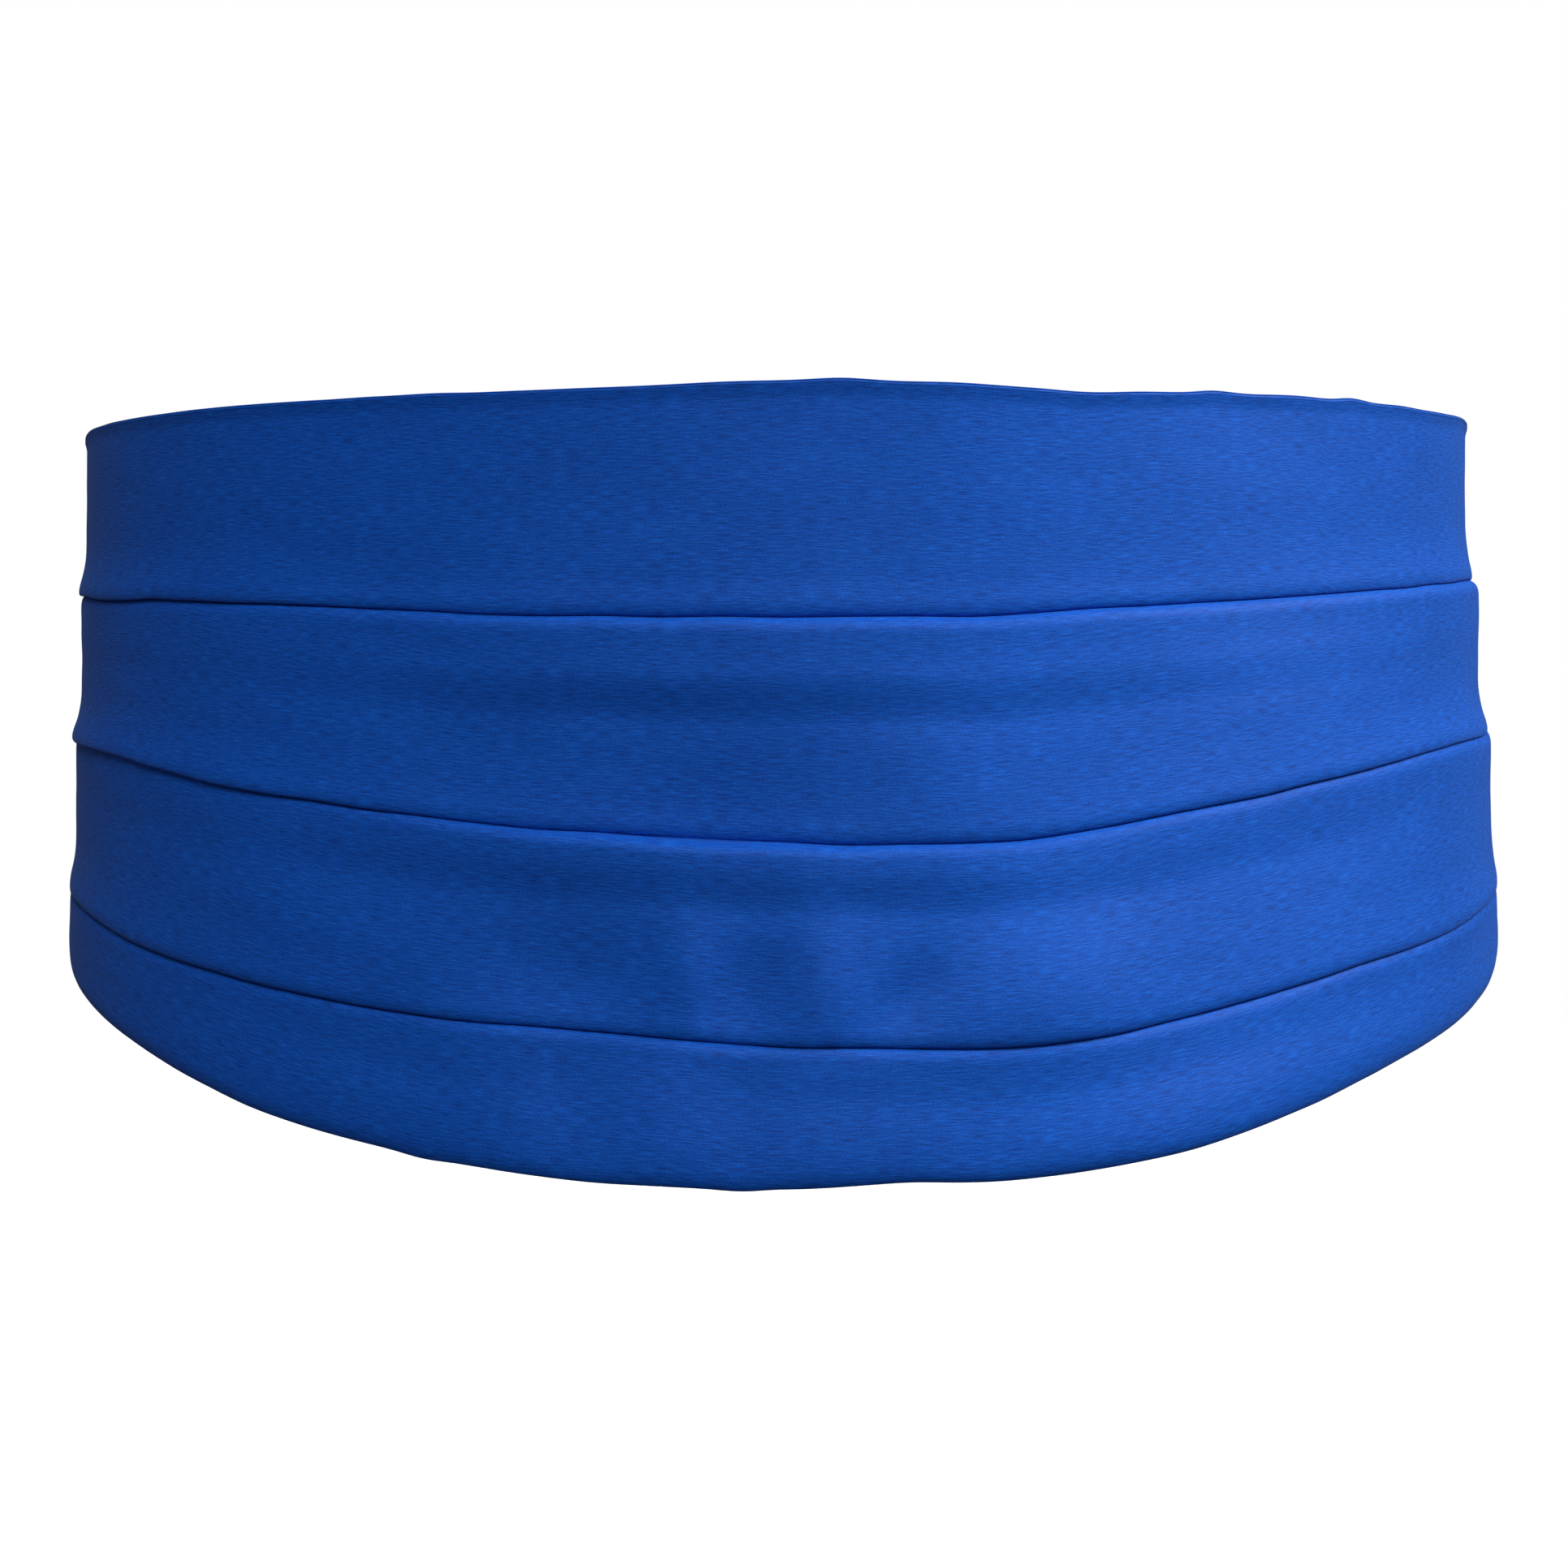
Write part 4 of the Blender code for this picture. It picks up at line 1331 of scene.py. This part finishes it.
@dataclass
class Seam:
    """Stitches set along lines by geometry nodes."""

    name: str
    slot: str
    colour: ThreadColour
    pitch: float = 0.0026
    length: float = 0.0019
    thread: float = 0.00021
    roughness: float = 0.5
    twist: float = 4000.0
    shade: float = 0.6

    def material(self) -> bpy.types.Material:
        """Return the thread's material, with a fine twist."""
        material, tree, shader = new_material(self.name + "_thread", Roughness=self.roughness)
        place = add_node(tree, "ShaderNodeTexCoord", {})
        twist = add_node(tree, "ShaderNodeTexNoise", {"Vector": place.outputs["Object"]}, Scale=self.twist)
        shade = tuple(self.shade * part for part in self.colour.value[:3]) + (1.0,)
        paint(tree, shader, twist.outputs["Fac"], ((0.0, shade), (1.0, self.colour.value)))
        return material

    def tree(self) -> bpy.types.NodeTree:
        """Return the node tree that sets a stitch at every pitch along the lines."""
        tree = bpy.data.node_groups.new(self.name + "_stitches", "GeometryNodeTree")
        socket = tree.interface.new_socket
        socket("Geometry", in_out="INPUT", socket_type="NodeSocketGeometry")
        for label in ("Pitch", "Stitch Length", "Thread Radius"):
            socket(label, in_out="INPUT", socket_type="NodeSocketFloat")
        socket("Thread", in_out="INPUT", socket_type="NodeSocketMaterial")
        socket("Geometry", in_out="OUTPUT", socket_type="NodeSocketGeometry")
        given = tree.nodes.new("NodeGroupInput").outputs
        curve = add_node(tree, "GeometryNodeMeshToCurve", {"Mesh": given["Geometry"]})
        even = add_node(tree, "GeometryNodeResampleCurve", {"Curve": curve.outputs["Curve"]})
        even.mode = "LENGTH"
        tree.links.new(given["Pitch"], even.inputs["Length"])
        width = add_node(tree, "ShaderNodeMath", {0: given["Thread Radius"]})
        width.operation = "MULTIPLY"
        width.inputs[1].default_value = 2.0
        across = width.outputs[0]
        size = add_node(tree, "ShaderNodeCombineXYZ", {"X": given["Stitch Length"], "Y": across, "Z": across})
        bead = add_node(tree, "GeometryNodeMeshUVSphere", {}, Segments=8, Rings=6, Radius=0.5)
        fed = {"Geometry": bead.outputs["Mesh"], "Scale": size.outputs["Vector"]}
        stitch = add_node(tree, "GeometryNodeTransform", fed).outputs["Geometry"]
        tangent = add_node(tree, "GeometryNodeInputTangent", {})
        turn = add_node(tree, "FunctionNodeAlignRotationToVector", {"Vector": tangent.outputs["Tangent"]})
        turn.axis = "X"
        fed = {"Points": even.outputs["Curve"], "Instance": stitch, "Rotation": turn.outputs["Rotation"]}
        place = add_node(tree, "GeometryNodeInstanceOnPoints", fed)
        real = add_node(tree, "GeometryNodeRealizeInstances", {"Geometry": place.outputs["Instances"]})
        fed = {"Geometry": real.outputs["Geometry"], "Material": given["Thread"]}
        sewn = add_node(tree, "GeometryNodeSetMaterial", fed)
        add_node(tree, "NodeGroupOutput", {"Geometry": sewn.outputs["Geometry"]})
        return tree

    def sew(self, lines: list[Array]) -> bpy.types.Object:
        """Return the stitches along some lines as one plain mesh.

        Args:
            lines: Points of each line.

        Returns:
            The finished stitches.
        """
        mesh = bpy.data.meshes.new(self.name + "_lines")
        points, edges = [], []
        for line in lines:
            first = len(points)
            points += [tuple(point) for point in np.asarray(line).tolist()]
            edges += [(first + i, first + i + 1) for i in range(len(line) - 1)]
        mesh.from_pydata(points, edges, [])
        holder = link(self.name + "_lines", mesh)
        modifier = holder.modifiers.new("stitches", "NODES")
        tree = self.tree()
        modifier.node_group = tree
        values = {"Pitch": self.pitch, "Stitch Length": self.length, "Thread Radius": self.thread,
                  "Thread": self.material()}
        for item in tree.interface.items_tree:
            if item.in_out == "INPUT" and item.name in values:
                modifier[item.identifier] = values[item.name]
        evaluated = holder.evaluated_get(bpy.context.evaluated_depsgraph_get())
        sewn = bpy.data.meshes.new_from_object(evaluated)
        holder.modifiers.remove(modifier)
        bpy.data.objects.remove(holder, do_unlink=True)
        sewn.shade_smooth()
        made = link(self.name, sewn)
        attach(made, "root")
        return made


@dataclass(frozen=True)
class SoftLight:
    """A square soft light: where it stands, the length of its side, its power in watts and its colour."""

    name: str
    place: tuple[float, float, float]
    size: float
    power: float
    colour: tuple[float, float, float]


LIGHTS = (
    SoftLight("key", (1.19, -0.30, 1.00), 0.8, 26.5, (1.0, 0.99, 0.97)),
    SoftLight("front", (-0.02, -1.08, 1.17), 0.9, 15.6, (0.96, 0.98, 1.0)),
    SoftLight("bounce", (0.25, -1.10, -0.75), 0.9, 3.2, (1.0, 0.99, 0.97)),
)


@dataclass
class Studio:
    """The camera, the lights, the pale floor and the white surroundings."""

    distance: float = 0.75
    lens: float = 85.7
    sensor: float = 36.0
    floor_height: float = -0.30
    floor_size: float = 8.0
    floor_light: float = 3.3
    floor_tone: Colour = (0.92, 0.92, 0.92, 1.0)
    air_tone: Colour = (0.80, 0.90, 1.0, 1.0)
    air_light: float = 0.12

    def camera(self) -> None:
        """Put the camera level in front of the sash."""
        lens = bpy.data.cameras.new("camera")
        lens.lens = self.lens
        lens.sensor_width = self.sensor
        lens.clip_start = 0.01
        lens.clip_end = 50.0
        camera = bpy.data.objects.new("camera", lens)
        camera.location = (0.0, -self.distance, 0.0)
        camera.rotation_euler = (math.pi / 2, 0.0, 0.0)
        bpy.context.scene.collection.objects.link(camera)
        bpy.context.scene.camera = camera

    def area_light(self, row: SoftLight) -> None:
        """Put up a soft light that faces the sash."""
        light = bpy.data.lights.new(row.name, "AREA")
        light.shape = "SQUARE"
        light.size = row.size
        light.energy = row.power
        light.color = row.colour
        made = bpy.data.objects.new(row.name, light)
        made.location = row.place
        made.rotation_euler = (-Vector(row.place)).to_track_quat("-Z", "Y").to_euler()
        bpy.context.scene.collection.objects.link(made)

    def floor(self) -> None:
        """Lay the plain pale floor, with a light of its own that keeps it white."""
        shape = bmesh.new()
        bmesh.ops.create_grid(shape, x_segments=1, y_segments=1, size=self.floor_size / 2)
        bmesh.ops.translate(shape, verts=shape.verts, vec=(0.0, 0.0, self.floor_height))
        mesh = bpy.data.meshes.new("floor")
        shape.to_mesh(mesh)
        shape.free()
        material = new_material("floor", Base_Color=self.floor_tone, Roughness=1.0, Specular_IOR_Level=0.0)[0]
        mesh.materials.append(material)
        made = link("floor", mesh)
        made.visible_diffuse = False
        made.visible_glossy = False
        lit = bpy.data.collections.new("floor only")
        lit.objects.link(made)
        sun = bpy.data.lights.new("floor light", "SUN")
        sun.energy = self.floor_light
        sun.angle = math.radians(60.0)
        lamp = bpy.data.objects.new("floor light", sun)
        bpy.context.scene.collection.objects.link(lamp)
        lamp.light_linking.receiver_collection = lit

    def surroundings(self) -> None:
        """Surround the set with white that lights it only softly."""
        world = bpy.data.worlds.new("surroundings")
        bpy.context.scene.world = world
        world.use_nodes = True
        tree = world.node_tree
        background = tree.nodes["Background"]
        background.inputs["Color"].default_value = self.air_tone
        background.inputs["Strength"].default_value = self.air_light
        seen = add_node(tree, "ShaderNodeBackground", {}, Color=(1.0, 1.0, 1.0, 1.0), Strength=1.0)
        path = tree.nodes.new("ShaderNodeLightPath")
        mix = tree.nodes.new("ShaderNodeMixShader")
        tree.links.new(path.outputs["Is Camera Ray"], mix.inputs["Fac"])
        tree.links.new(background.outputs["Background"], mix.inputs[1])
        tree.links.new(seen.outputs["Background"], mix.inputs[2])
        tree.links.new(mix.outputs["Shader"], tree.nodes["World Output"].inputs["Surface"])

    def build(self) -> None:
        """Build the whole studio."""
        scene = bpy.context.scene
        scene.view_settings.view_transform = "Standard"
        scene.view_settings.look = "None"
        self.camera()
        for row in LIGHTS:
            self.area_light(row)
        self.floor()
        self.surroundings()


def main() -> None:
    """Build the cummerbund and its studio."""
    logging.basicConfig(level=logging.INFO, format="%(message)s")
    form = WaistForm()
    Studio().build()
    pleats = PleatedPanel(form, SlubCloth()).dress()
    layout = BackLayout(form, pleats)
    tab_lines, strap_lines = [], []
    report(ClaspPlate(layout, BrushedSteel()).dress())
    for side in (-1, 1):
        tab, strap = EndTab(layout, side, SlubCloth()), Strap(layout, side, RibbedStrap())
        report(tab.dress())
        report(strap.dress())
        tab_lines += tab.stitch_lines()
        strap_lines += strap.stitch_lines()
    report(Seam("tab_stitches", "pleat_cloth", ThreadColour.PLEAT_BLUE).sew(tab_lines))
    report(Seam("strap_stitches", "strap_cloth", ThreadColour.STRAP_BLUE).sew(strap_lines))


if __name__ == "__main__":
    main()
